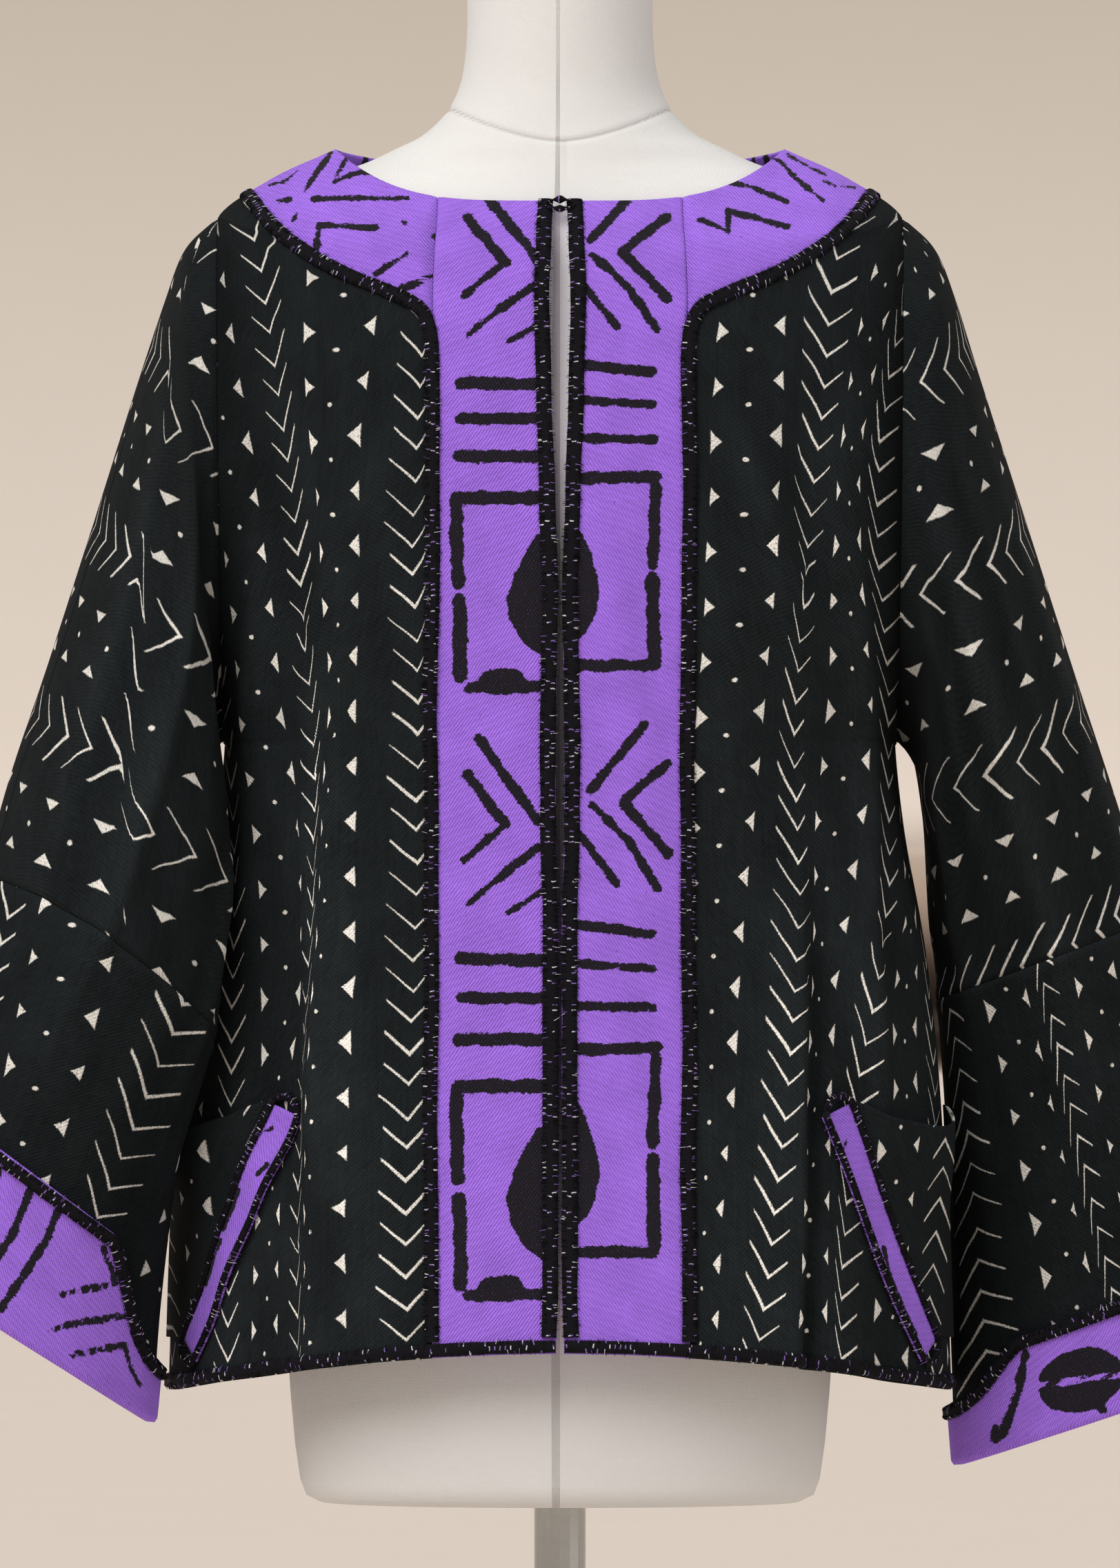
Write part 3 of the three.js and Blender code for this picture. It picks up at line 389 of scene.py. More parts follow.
def solve(low, high, target, measure):
    """Finds where a growing function reaches a target, for arrays of targets."""
    target = np.asarray(target, float)
    low = np.full(target.shape, float(low))
    high = np.full(target.shape, float(high))
    for _ in range(34):
        middle = (low + high) / 2
        below = measure(middle) < target
        low = np.where(below, middle, low)
        high = np.where(below, high, middle)
    return (low + high) / 2


def armhole_angle(station):
    return np.pi * (SHOULDER_STATION - station) / (SHOULDER_STATION - UNDERARM_STATION)


def armhole_normal(angle):
    way = np.stack([np.full_like(angle, 0.45), -0.9 * np.sin(angle), 0.9 * np.cos(angle)], -1)
    return unit(way)


def body_edge(station):
    """Where a level ends: at the side seam, the armhole or the shoulder seam."""
    ring = {name: values[0] for name, values in SLEEVE[1].items()}
    inside = (station > UNDERARM_STATION) & (station < SHOULDER_STATION)
    angle = armhole_angle(station)
    share = (1 + np.cos(angle)) / 2
    x = mix(ring["inner_x"], ring["outer_x"], share)
    z = mix(ring["inner_z"], ring["outer_z"], share)
    return (
        np.where(inside, x, along(BODY, "edge_x", station)),
        np.where(inside, z, along(BODY, "edge_z", station)),
        np.where(inside, ring["depth"] * np.sin(angle), 0),
    )


def body_fold(face, x, z):
    height = np.zeros_like(x)
    for i, fold_face in enumerate(BODY_FOLDS["face"]):
        if fold_face != face:
            continue
        fold = {name: values[i] for name, values in BODY_FOLDS.items()}
        down = (fold["top_z"] - z) / (fold["top_z"] - fold["low_z"])
        middle = mix(fold["top_x"], fold["low_x"], down)
        off = (x - middle) / fold["width"]
        off = np.where(off * np.sign(middle) > 0, off / fold["sharp"], off)
        part = fold["height"] * np.exp(-off * off)
        part = part * smooth(down / 0.4) * smooth((1.1 - down) / 0.25)
        height += np.where((down > 0) & (down < 1.1), part, 0)
    fade = smooth((1310 - z) / 130) * smooth((np.abs(x) - 8) / 60)
    return height + ripple(x + 37 * face, z) * fade


def ripple(across, down):
    """Long soft waves, a few mm high in all."""
    height = np.zeros(np.broadcast(across, down).shape)
    for (short, tall, phase, size), slope in zip(RIPPLES, RIPPLE_SLOPES):
        wave = 2 * np.pi * ((across + slope * down) / short + down / tall)
        height = height + size * np.sin(wave + phase)
    return height


def body_ring(face, turn, station):
    """Distance from the axis and angle of the plain surface at a turn of 0 to 1."""
    edge_x, edge_z, reach = body_edge(station)
    depth = along(BODY, "front_depth" if face < 0 else "back_depth", station)
    square = along(BODY, "square", station)
    edge_angle = np.arctan2(edge_x, reach)
    edge_far = np.hypot(edge_x, reach)
    depth_part = (np.maximum(0, np.cos(edge_angle)) / depth) ** square
    wide_part = (edge_far**-square - depth_part) / np.sin(edge_angle) ** square
    angle = turn * edge_angle
    radius = (
        wide_part * np.sin(angle) ** square + (np.maximum(0, np.cos(angle)) / depth) ** square
    ) ** (-1 / square)
    return radius, angle, edge_x, edge_z


def body_point(face, turn, station):
    """A point of the body's outer face. Turn runs from -1 to 1 across it, from edge to edge."""
    turn, station = np.broadcast_arrays(np.asarray(turn, float), np.asarray(station, float))
    radius, angle, edge_x, edge_z = body_ring(face, np.abs(turn), station)
    x = radius * np.sin(angle)
    reach = radius * np.cos(angle)
    centre_z = along(BODY, "front_z" if face < 0 else "back_z", station)
    z = mix(centre_z, edge_z, (x / edge_x) ** along(BODY, "rise", station))
    side = np.where(turn < 0, -1.0, 1.0)
    fade = 1 - smooth((np.abs(turn) - 0.86) / 0.12)
    fold = body_fold(face, side * x, z) * fade
    return np.stack(
        [side * (x + fold * np.sin(angle)), face * (reach + fold * np.cos(angle)), z], -1
    )


def body_normal(face, turn, station):
    """The outward direction of the body's face, shared with the sleeve at the armhole."""
    turn, station = np.broadcast_arrays(np.asarray(turn, float), np.asarray(station, float))
    step = 0.004
    side = np.where(turn < 0, -1.0, 1.0)
    at_edge = np.abs(turn) > 1 - 2 * SEAM_TURN
    inwards = np.where(at_edge, -side * step, 0)
    across = body_point(face, turn + inwards + step, station) - body_point(
        face, turn + inwards - step, station
    )
    high = np.minimum(NECK_STATION, station + step)
    low = np.maximum(0, station - step)
    up = body_point(face, turn, high) - body_point(face, turn, low)
    normal = np.cross(across, up) * -face
    normal[..., 1] = np.where(at_edge, 0, normal[..., 1])
    normal = unit(normal)
    shared = armhole_normal(armhole_angle(station))
    shared = shared * np.stack([side, np.full_like(side, -face), np.ones_like(side)], -1)
    armhole = at_edge & (station >= UNDERARM_STATION) & (station <= SHOULDER_STATION)
    return np.where(armhole[..., None], shared, normal)


def turn_at(face, station, x):
    """The turn at which a level of the body reaches a given x."""
    station, x = np.broadcast_arrays(np.asarray(station, float), np.asarray(x, float))

    def plain_x(turn):
        radius, angle, _, _ = body_ring(face, turn, station)
        return radius * np.sin(angle)

    turn = solve(0, 1, np.abs(x), plain_x)
    turn = np.where(np.abs(x) >= body_edge(station)[0], 1.0, turn)
    return np.where(x < 0, -1.0, 1.0) * turn


def locate(face, x, z):
    """The turn and station of the body's face at an x and a height."""
    x, z = np.broadcast_arrays(np.asarray(x, float), np.asarray(z, float))
    station = solve(
        0, NECK_STATION, z, lambda value: body_point(face, turn_at(face, value, x), value)[..., 2]
    )
    return turn_at(face, station, x), station


def shoulder_station(x):
    return solve(SHOULDER_STATION, NECK_STATION, -x, lambda value: -body_edge(value)[0])


def edge_curve(face, rows, steps):
    """A curve through x and z rows, as turns and stations of the body's face."""
    position = np.linspace(0, len(rows["x"]) - 1, steps + 1)
    x = along(rows, "x", position)
    turn, station = locate(face, np.minimum(x, COLLAR_SHOULDER_X), along(rows, "z", position))
    at_seam = x >= COLLAR_SHOULDER_X - 0.01
    seam = shoulder_station(float(COLLAR_SHOULDER_X))
    return np.where(at_seam, 1.0, turn), np.where(at_seam, seam, station)


def on_curve(curve, share):
    position = np.clip(share, 0, 1)
    shares = np.linspace(0, 1, len(curve[0]))
    return np.interp(position, shares, curve[0]), np.interp(position, shares, curve[1])


collar_front = edge_curve(-1, COLLAR_FRONT_EDGE, 36)
collar_back = edge_curve(1, COLLAR_BACK_EDGE, 36)
band_top_station = collar_front[1][0] - SEAM_STATION
collar_top_station = float(shoulder_station(float(COLLAR_SHOULDER_X)))


def grid(rows, columns):
    """Shares from 0 to 1 down the rows and across the columns of a grid."""
    return np.meshgrid(np.linspace(0, 1, rows + 1), np.linspace(0, 1, columns + 1), indexing="ij")


def patch(row, column, left, right, low, top):
    """Fills the space between four edges, each a turn and a station."""
    filled = []
    for i in range(2):
        corners = mix(
            mix(low[i][:, :1], low[i][:, -1:], column),
            mix(top[i][:, :1], top[i][:, -1:], column),
            row,
        )
        filled.append(mix(left[i], right[i], column) + mix(low[i], top[i], row) - corners)
    return filled


def edge_stations(row):
    """Stations along a panel's outer edge, in step with the sleeve's turns."""
    side_seam = np.arange(SIDE_SEAM_STEPS) * UNDERARM_STATION / SIDE_SEAM_STEPS
    armhole = np.linspace(UNDERARM_STATION, SHOULDER_STATION, ARMHOLE_STEPS + 1)
    stations = np.concatenate([side_seam, armhole, [collar_top_station - SEAM_STATION]])
    return np.interp(row * (len(stations) - 1), np.arange(len(stations)), stations)


def arc_lengths(points, axis):
    """Distance along a grid of points, from its first row or column."""
    steps = np.linalg.norm(np.diff(points, axis=axis), axis=-1)
    start = np.zeros_like(np.take(steps, [0], axis=axis))
    return np.concatenate([start, np.cumsum(steps, axis=axis)], axis=axis)


def add_object(name, points, faces, slot, attributes):
    """Makes a smooth mesh in metres, rides it on the body and stores its attributes."""
    mesh = bpy.data.meshes.new(name)
    mesh.from_pydata((points * MM).tolist(), [], faces)
    mesh.shade_smooth()
    for key, values in attributes.items():
        values = np.asarray(values, np.float32)
        kind = "FLOAT_VECTOR" if values.ndim > 1 else "FLOAT"
        layer = mesh.attributes.new(key, kind, "POINT")
        layer.data.foreach_set("vector" if values.ndim > 1 else "value", values.ravel())
    mesh.update()
    piece = bpy.data.objects.new(name, mesh)
    bpy.context.scene.collection.objects.link(piece)
    mesh.materials.append(MATERIALS[slot])
    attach(piece, "root")
    return piece


def grid_faces(rows, columns, rows_close=False, columns_close=True):
    """Quads over a grid of rows and columns of points, which may close on themselves."""
    row = np.arange(rows if rows_close else rows - 1)[:, None]
    column = np.arange(columns if columns_close else columns - 1)[None, :]
    here = row * columns
    below = (row + 1) % rows * columns
    after = (column + 1) % columns
    quads = np.stack([here + column, here + after, below + after, below + column], -1)
    return quads.reshape(-1, 4)


def shell_faces(rows, columns, wraps, flip):
    """Faces of an outer and an inner layer over one grid, joined round their edges."""
    across = columns if wraps else columns + 1
    count = (rows + 1) * across
    outer = grid_faces(rows + 1, across, columns_close=wraps)
    inner = outer[:, ::-1] + count
    edges = []
    for row in (0, rows):
        first = row * across + np.arange(columns)
        second = row * across + (np.arange(columns) + 1) % across
        rim = np.stack([second, first, first + count, second + count], -1)
        edges.append(rim if row == 0 else rim[:, ::-1])
    if not wraps:
        for column in (0, columns):
            first = np.arange(rows) * across + column
            second = first + across
            rim = np.stack([first, second, second + count, first + count], -1)
            edges.append(rim if column == 0 else rim[:, ::-1])
    faces = np.concatenate([outer, inner, *edges])
    return (faces[:, ::-1] if flip else faces).tolist()


def add_shell(
    name, node, points, normal, slot, dip=0.0, motif=None, ink=None, wraps=False, painted_shading=0.0, thread=None
):
    """A cloth shell over a grid of outer points, with weave coordinates in mm.

    Dip moves the points along their normals, below 0 towards the body. A third number, stored with the
    weave coordinates, is painted light and shade: above 0 a painted highlight on a fold's crest, below
    0 painted shade in a fold or under the arm.
    """
    outer = points + normal * np.asarray(dip)[..., None]
    rows = outer.shape[0] - 1
    columns = outer.shape[1] - (0 if wraps else 1)
    first = np.cross(outer[0, 1] - outer[0, 0], outer[1, 0] - outer[0, 0])
    flip = np.dot(first, normal[0, 0]) < 0
    faces = shell_faces(rows, columns, wraps, flip)
    thread = cloth_coordinates(outer) if thread is None else thread
    # The third weave coordinate carries painted light and shade for the material.
    thread[..., 2] = painted_shading
    layers = np.concatenate([outer.reshape(-1, 3), (outer - normal * CLOTH).reshape(-1, 3)])
    attributes = {"cloth": np.tile(thread.reshape(-1, 3), (2, 1))}
    if motif is not None:
        attributes["motif"] = np.tile(motif.reshape(-1, 3), (2, 1))
    if ink is not None:
        attributes["ink"] = np.tile(ink.ravel(), 2)
    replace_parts(add_object(name, layers, faces, slot, attributes), node)


def cloth_coordinates(outer):
    """Threads' coordinates in mm across and up a grid, measured along the cloth."""
    wide = arc_lengths(outer, 1)
    tall = arc_lengths(outer, 0)
    return np.stack([wide, tall, np.zeros_like(wide)], -1)


def seam_dip(distance, depth=1.1, width=2.4):
    """How far cloth sinks towards a seam, by its distance from the seam in mm."""
    return -depth * bell(distance, width)


# Painted strokes of one repeat of the bands, as lines from x, z to x, z with a width. x is
# measured from the centre line and z from the point of the upper arrow.
STROKES = {
    -1: [
        [-50, 48, -14, 2, 6.5],
        [-57, 28, -34, 0, 6.5],
        [-34, 0, -59, -20, 5],
        [-14, -13, -38, -30, 5.5],
        [-38, -30, -57, -45, 4],
        [-12, -38, -32, -49, 4],
        [-61, -75, -12, -76, 8],
        [-61, -97, -12, -97, 7.5],
        [-62, -120, -12, -120, 8],
        [-63, -146, -12, -146, 8.5],
        [-64, -148, -63, -198, 8.5],
        [-62, -209, -61, -256, 9],
        [-56, -263, -12, -262, 7.5],
        [-42, -259, -30, -259, 16],
    ],
    1: [
        [52, 44, 19, 7, 6],
        [66, 22, 39, 0, 6],
        [39, -1, 66, -29, 6.5],
        [20, -2, 42, -22, 5],
        [42, -22, 60, -49, 5.5],
        [12, -18, 35, -47, 5],
        [11, -70, 56, -75, 6.5],
        [11, -92, 57, -95, 5.5],
        [11, -116, 58, -117, 6],
        [10, -141, 59, -140, 7.5],
        [59, -146, 57, -194, 7.5],
        [57, -203, 58, -254, 8.5],
        [10, -256, 58, -256, 7.5],
    ],
}
# A drop across the opening: half width by height, from its foot up to its point.
DROP = table("z half", [[-245, 8], [-236, 22], [-222, 31], [-208, 33], [-190, 27], [-168, 14]])
# The height of each repeat's arrow point, and how far the repeat is stretched.
REPEATS = {-1: [[1331, 1.0], [984, 1.1]], 1: [[1338, 1.0], [998, 1.08]]}

# Strokes of the collar's sides, in the same way, with z above the floor.
COLLAR_STROKES = {
    -1: [
        [-163, 1391, -171, 1384, 1.7],
        [-171, 1384, -184, 1381, 1.6],
        [-143, 1402, -158, 1378, 3.6],
        [-131, 1401, -139, 1387, 3.1],
        [-140, 1383, -125, 1389, 2.9],
        [-125, 1389, -108, 1388, 2.8],
        [-153, 1372, -95, 1372, 3.4],
        [-175, 1371, -168, 1372, 2.3],
        [-163, 1363, -165, 1359, 3],
        [-149, 1355, -151, 1340, 3.7],
        [-146, 1355, -114, 1353, 4],
        [-75, 1349, -114, 1324, 4.1],
        [-76, 1324, -101, 1313, 4],
        [-97, 1357, -95, 1356, 2.6],
    ],
    1: [
        [104, 1383, 120, 1379, 3.2],
        [120, 1379, 141, 1370, 3.4],
        [128, 1400, 137, 1396, 2.6],
        [137, 1396, 147, 1385, 3],
        [147, 1385, 163, 1371, 3],
        [142, 1401, 157, 1392, 1.7],
        [157, 1392, 165, 1388, 1.6],
        [164, 1384, 171, 1381, 1.9],
        [175, 1381, 184, 1380, 1.4],
        [83, 1358, 86, 1324, 4.3],
        [87, 1358, 104, 1351, 3.8],
        [104, 1351, 104, 1364, 3.9],
        [104, 1364, 141, 1354, 3.8],
    ],
}


# Those of the collar behind, by mm along one repeat and up the collar.
COLLAR_BACK_STROKES = [
    [-22, 20, -8, 62, 6],
    [-8, 62, 6, 20, 6],
    [16, 26, 16, 74, 6.5],
    [-20, 84, 4, 84, 5.5],
]


def stroke_distance(x, z, strokes):
    """Distance in mm from the nearest painted stroke's edge, negative inside."""
    best = np.full(x.shape, 30.0)
    for x1, z1, x2, z2, width in strokes:
        dx = x2 - x1
        dz = z2 - z1
        share = np.clip(((x - x1) * dx + (z - z1) * dz) / (dx * dx + dz * dz + 1e-9), 0, 1)
        far = np.hypot(x - x1 - share * dx, z - z1 - share * dz)
        best = np.minimum(best, far - width / 2)
    return best


def band_ink(side, x, z):
    """The band's painted strokes and drops, in all its repeats."""
    best = np.full(x.shape, 30.0)
    for top, stretch in REPEATS[side]:
        strokes = [
            [x1, top + z1 * stretch, x2, top + z2 * stretch, width]
            for x1, z1, x2, z2, width in STROKES[side]
        ]
        best = np.minimum(best, stroke_distance(x, z, strokes))
        level = (z - top) / stretch
        half = np.interp(level, DROP["z"], DROP["half"], left=-30, right=-30)
        best = np.minimum(best, np.abs(x) - half * (1 if side < 0 else 0.74))
    return best


# The motifs of the black cloth stand in columns: an arrow column at 0, triangles at 38 and
# 66 with dots between them at 52, and again each 104. These rows give the columns' distance
# from the centre line at a few heights of each front.
MOTIF_PERIOD = 104
FRONT_COLUMNS = {
    -1: table(
        "z arrow triangle dot triangle_out arrow_out triangle_far dot_far triangle_last last",
        [
            [640, 94, 134, 155, 158, 161, 176, 183, 190, 205],
            [750, 94.5, 135, 155, 158, 161, 174, 178, 186, 204],
            [830, 93.5, 132.8, 153.5, 156, 159, 167.7, 173, 182, 203],
            [867, 92, 131.3, 151.5, 154, 157, 162.7, 169.5, 182.3, 203],
            [902, 90.6, 129.5, 149, 151.5, 154, 159.8, 169, 183, 202],
            [943, 89, 129.3, 146.5, 149, 152, 159.5, 170.3, 184.5, 201],
            [976, 88, 129.5, 145.4, 147.5, 151.5, 160.4, 173, 187.5, 203],
            [1008, 88.2, 129.3, 144, 146.5, 150, 164.8, 178, 191, 206],
            [1048, 87.7, 129.3, 139, 143, 151.8, 172, 186, 198, 212],
            [1070, 87.5, 129, 136.5, 141, 154, 176.7, 190, 202, 216],
            [1100, 88, 128, 137, 142.3, 159, 182, 196, 208, 222],
            [1134, 89, 127.6, 136.5, 145.6, 164, 190, 204, 218, 236],
            [1166, 90.5, 127.2, 139, 149.8, 169, 196, 210, 224, 244],
            [1199, 90.8, 126.8, 141.6, 154.5, 175.4, 203, 217, 230, 250],
            [1230, 89, 126.3, 142.3, 157, 180.5, 208, 222, 236, 256],
            [1277, 87, 120, 137.5, 154.5, 187, 215, 229, 243, 262],
            [1306, 85, 116, 134, 153.3, 190.7, 219, 233, 247, 266],
            [1350, 84, 112, 132, 152, 196.3, 224, 238, 252, 272],
        ],
    ),
    1: table(
        "z triangle_in dot_in triangle arrow arm_end side_1 side_2 side_3 side_arrow",
        [
            [640, 76, 86, 94, 120, 133, 147, 151, 162.5, 173],
            [700, 77, 87, 95.5, 128, 140, 150, 153, 164, 173],
            [770, 78, 90, 99, 134.5, 146, 152, 155, 165, 178],
            [830, 79, 93, 105, 141, 151, 154, 157, 166, 185],
            [885, 80, 93, 106.5, 144.5, 153.5, 156, 159, 168, 196],
            [942, 81.5, 96.5, 111, 148, 155, 157, 163, 178, 204.5],
            [1000, 84, 99, 118, 146, 151, 159, 173, 188, 204],
            [1050, 86, 102.8, 123.5, 144, 151, 167.6, 181, 192, 204],
            [1100, 88.5, 110, 127, 148.5, 157, 170, 179, 185, 196],
            [1150, 91.5, 113, 130, 156, 165, 172, 178.5, 184.5, 196],
            [1200, 94, 114, 133, 163, 175, 181, 190, 197, 207],
            [1275, 97, 117, 135.5, 169, 187, 201, 215, 222, 233],
            [1350, 104, 120, 138, 181, 199, 221, 234, 241, 251],
        ],
    ),
}
# Where each of those columns lies in the cloth's repeat, and how far its arrows lean.
COLUMN_PLACES = {
    -1: [0, 38, 52, 66, 104, 142, 156, 170, 208],
    1: [66, 52, 38, 0, -17, -38, -52, -66, -104],
}
COLUMN_LEANS = {
    -1: [-0.1, -0.2, -0.25, -0.3, -0.38, -0.3, -0.2, -0.1, 0.1],
    1: [0.3, 0.3, 0.3, 0.45, 0.42, 0.4, 0.4, 0.4, 0.45],
}


def front_motif(side, wide, points):
    """The motif column, the height and the arrows' lean on a front panel."""
    columns = FRONT_COLUMNS[side]
    names = [name for name in columns if name != "z"]
    places = np.array(COLUMN_PLACES[side], float)
    leans = np.array(COLUMN_LEANS[side])
    motif = np.zeros_like(points)
    for row in range(len(points)):
        z = points[row, :, 2]
        x = np.abs(points[row, :, 0])
        level = np.array([np.interp(z.mean(), columns["z"], columns[name]) for name in names])
        over = np.maximum(0, level - x[-1]) * 1.2
        far = np.interp(level, x, wide[row]) + over
        # Before the first column and past the last, the columns go on along the cloth.
        onward = np.sign(places[-1] - places[0])
        start = places[0] + (wide[row] - far[0]) * onward
        end = places[-1] + (wide[row] - far[-1]) * onward * 1.12
        place = np.interp(wide[row], far, places)
        place = np.where(wide[row] < far[0], start, np.where(wide[row] > far[-1], end, place))
        motif[row, :, 0] = place
        motif[row, :, 1] = z
        motif[row, :, 2] = np.interp(wide[row], far, leans)
    return motif


def fold_painted_shading(fold, from_seam, under_arm):
    """Painted shade and highlight for the cloth's colour: darker in fold valleys and near the seam
    under the arm, lighter on the folds' crests.
    """
    # Painted shade next to the seam under the arm, where the arm shades the cloth.
    painted_armhole_shade = 0.6 * bell(from_seam, 30) * under_arm
    return np.clip(fold / 9, -0.6, 0.6) * 0.6 - painted_armhole_shade


def front_panel(side):
    row, column = grid(126, 84)
    stations = edge_stations(row[:, :1])
    # The inner edge climbs as far as the band's corner, in step with the outer edge.
    inner_station = band_top_station * stations / stations[-1]
    inner = (turn_at(-1, inner_station, BAND_HALF + SEAM_GAP / 2), inner_station)
    outer = (np.full_like(stations, EDGE_TURN), stations)
    low_turn = mix(inner[0][0, 0], EDGE_TURN, column[:1])
    low = (low_turn, np.zeros_like(low_turn))
    top_turn, top_station = on_curve(collar_front, column[:1])
    top_turn[0, 0] = inner[0][-1, 0]
    top = (np.minimum(EDGE_TURN, top_turn), top_station - SEAM_STATION)
    turn, station = patch(row, column, inner, outer, low, top)
    points = body_point(-1, side * turn, station)
    normal = body_normal(-1, side * turn, station)
    wide = arc_lengths(points, 1)
    tall = arc_lengths(points, 0)
    dip = seam_dip(wide[:, -1:] - wide) + seam_dip(tall[-1:] - tall, 0.7)
    motif = front_motif(side, wide, points)
    # Painted shade and highlight: the colour is darkened in fold valleys and next to the armhole seam
    # above UNDER_ARM_LOW_Z, and lightened on the folds' crests.
    fold = body_fold(-1, points[..., 0], points[..., 2])
    under_arm = smooth((points[..., 2] - UNDER_ARM_LOW_Z) / UNDER_ARM_TALL)
    painted_shading = fold_painted_shading(fold, wide[:, -1:] - wide, under_arm)
    names = ("front_cloth_" + WORD[side], "front_" + WORD[side])
    add_shell(*names, points, normal, "mud_cloth", dip, motif, painted_shading=painted_shading)


def back_panel():
    row, column = grid(126, 110)
    stations = edge_stations(row[:, :1])
    share = np.abs(2 * column[:1] - 1)
    low_turn = mix(-EDGE_TURN, EDGE_TURN, column[:1])
    top_turn, top_station = on_curve(collar_back, 1 - share)
    top_turn = np.minimum(EDGE_TURN, top_turn) * np.sign(column[:1] - 0.5)
    turn, station = patch(
        row,
        column,
        (np.full_like(stations, -EDGE_TURN), stations),
        (np.full_like(stations, EDGE_TURN), stations),
        (low_turn, np.zeros_like(low_turn)),
        (top_turn, top_station - SEAM_STATION),
    )
    points = body_point(1, turn, station)
    normal = body_normal(1, turn, station)
    wide = arc_lengths(points, 1)
    tall = arc_lengths(points, 0)
    dip = seam_dip(wide) + seam_dip(wide[:, -1:] - wide) + seam_dip(tall[-1:] - tall, 0.7)
    middle = wide - wide[:, -1:] / 2
    lean = np.where(middle < 0, 0.3, -0.3)
    motif = np.stack([middle + 30, points[..., 2], lean], -1)
    add_shell("back_cloth", "back", points, normal, "mud_cloth", dip, motif)


def band_turn(station, inset):
    share = smooth((station - band_top_station) / (NECK_STATION - band_top_station))
    return turn_at(-1, station, mix(BAND_HALF, BAND_TOP_HALF, share) + inset)


def opening_turn(station, inset):
    z = body_point(-1, np.zeros_like(station), station)[..., 2]
    return turn_at(-1, station, at_height(OPENING, "half", z) + inset)


def band_panel(side):
    row, column = grid(370, 40)
    station = NECK_STATION * row[:, :1]
    inner = opening_turn(station, 0)
    outer = band_turn(station, -SEAM_GAP / 2)
    turn = side * mix(inner, outer, column)
    station = np.broadcast_to(station, turn.shape)
    points = body_point(-1, turn, station)
    normal = body_normal(-1, turn, station)
    wide = arc_lengths(points, 1)
    dip = seam_dip(wide[:, -1:] - wide, 0.8)
    ink = band_ink(side, points[..., 0], points[..., 2])
    names = ("band_cloth_" + WORD[side], "band_" + WORD[side])
    add_shell(*names, points, normal, "purple_cloth", dip, ink=ink)


def collar_front_panel(side):
    row, column = grid(56, 90)
    low_turn, low_station = on_curve(collar_front, column[:1])
    station = mix(low_station + SEAM_STATION, NECK_STATION, row)
    neck = np.full_like(row[:1, :1], NECK_STATION)
    neck_turn = mix(band_turn(neck, SEAM_GAP / 2), EDGE_TURN, column)
    turn = mix(low_turn, neck_turn, row)
    turn[:, 0] = band_turn(station[:, :1], SEAM_GAP / 2)[:, 0]
    turn = side * np.minimum(EDGE_TURN, turn)
    points = body_point(-1, turn, station)
    normal = body_normal(-1, turn, station)
    wide = arc_lengths(points, 1)
    tall = arc_lengths(points, 0)
    dip = seam_dip(wide, 0.9) + seam_dip(wide[:, -1:] - wide, 0.7) + seam_dip(tall, 0.5)
    flat_x = points[..., 0]
    flat_z = points[..., 2]
    ink = stroke_distance(flat_x, flat_z, COLLAR_STROKES[side])
    thread = np.stack([flat_x, flat_z * 1.3, 0 * flat_z], -1)
    names = ("collar_cloth_" + WORD[side], "collar_" + WORD[side])
    add_shell(*names, points, normal, "purple_cloth", dip, ink=ink, thread=thread)


def collar_back_panel():
    row, column = grid(48, 170)
    share = np.abs(2 * column[:1] - 1)
    low_turn, low_station = on_curve(collar_back, 1 - share)
    station = mix(low_station + SEAM_STATION, NECK_STATION, row)
    turn = mix(low_turn * np.sign(column[:1] - 0.5), 2 * column - 1, row)
    turn = np.clip(turn, -EDGE_TURN, EDGE_TURN)
    points = body_point(1, turn, station)
    normal = body_normal(1, turn, station)
    wide = arc_lengths(points, 1)
    tall = arc_lengths(points, 0)
    along_collar = wide - wide[:, -1:] / 2
    place = (along_collar + 400) % 62 - 31
    ink = stroke_distance(place, tall, COLLAR_BACK_STROKES)
    dip = seam_dip(wide, 0.7) + seam_dip(wide[:, -1:] - wide, 0.7) + seam_dip(tall, 0.5)
    add_shell("collar_cloth_back", "collar_back", points, normal, "purple_cloth", dip, ink=ink)


def sleeve_fold(side, turn, ring):
    height = PIECING_RIDGE * bell(ring - PIECING_RING, 0.12)
    for i, fold_side in enumerate(SLEEVE_FOLDS["side"]):
        if fold_side != side:
            continue
        fold = {name: values[i] for name, values in SLEEVE_FOLDS.items()}
        share = np.clip((ring - fold["start"]) / (fold["end"] - fold["start"]), 0, 1)
        middle = mix(fold["turn"], fold["low_turn"], share)
        off = (turn % 1 - middle) / fold["width"]
        off = np.where(off > 0, off / fold["sharp"], off)
        height = height + fold["height"] * np.exp(-off * off) * np.sin(np.pi * share) ** 1.2
    fade = smooth(ring / 2.4) * smooth((9.2 - ring) / 1.6)
    round_way = np.sin(np.pi * (turn % 1)) ** 2
    across = turn % 1 * SLEEVE_ROUND + 90 * side
    return height + ripple(across, ring * SLEEVE_RING_TALL) * fade * round_way


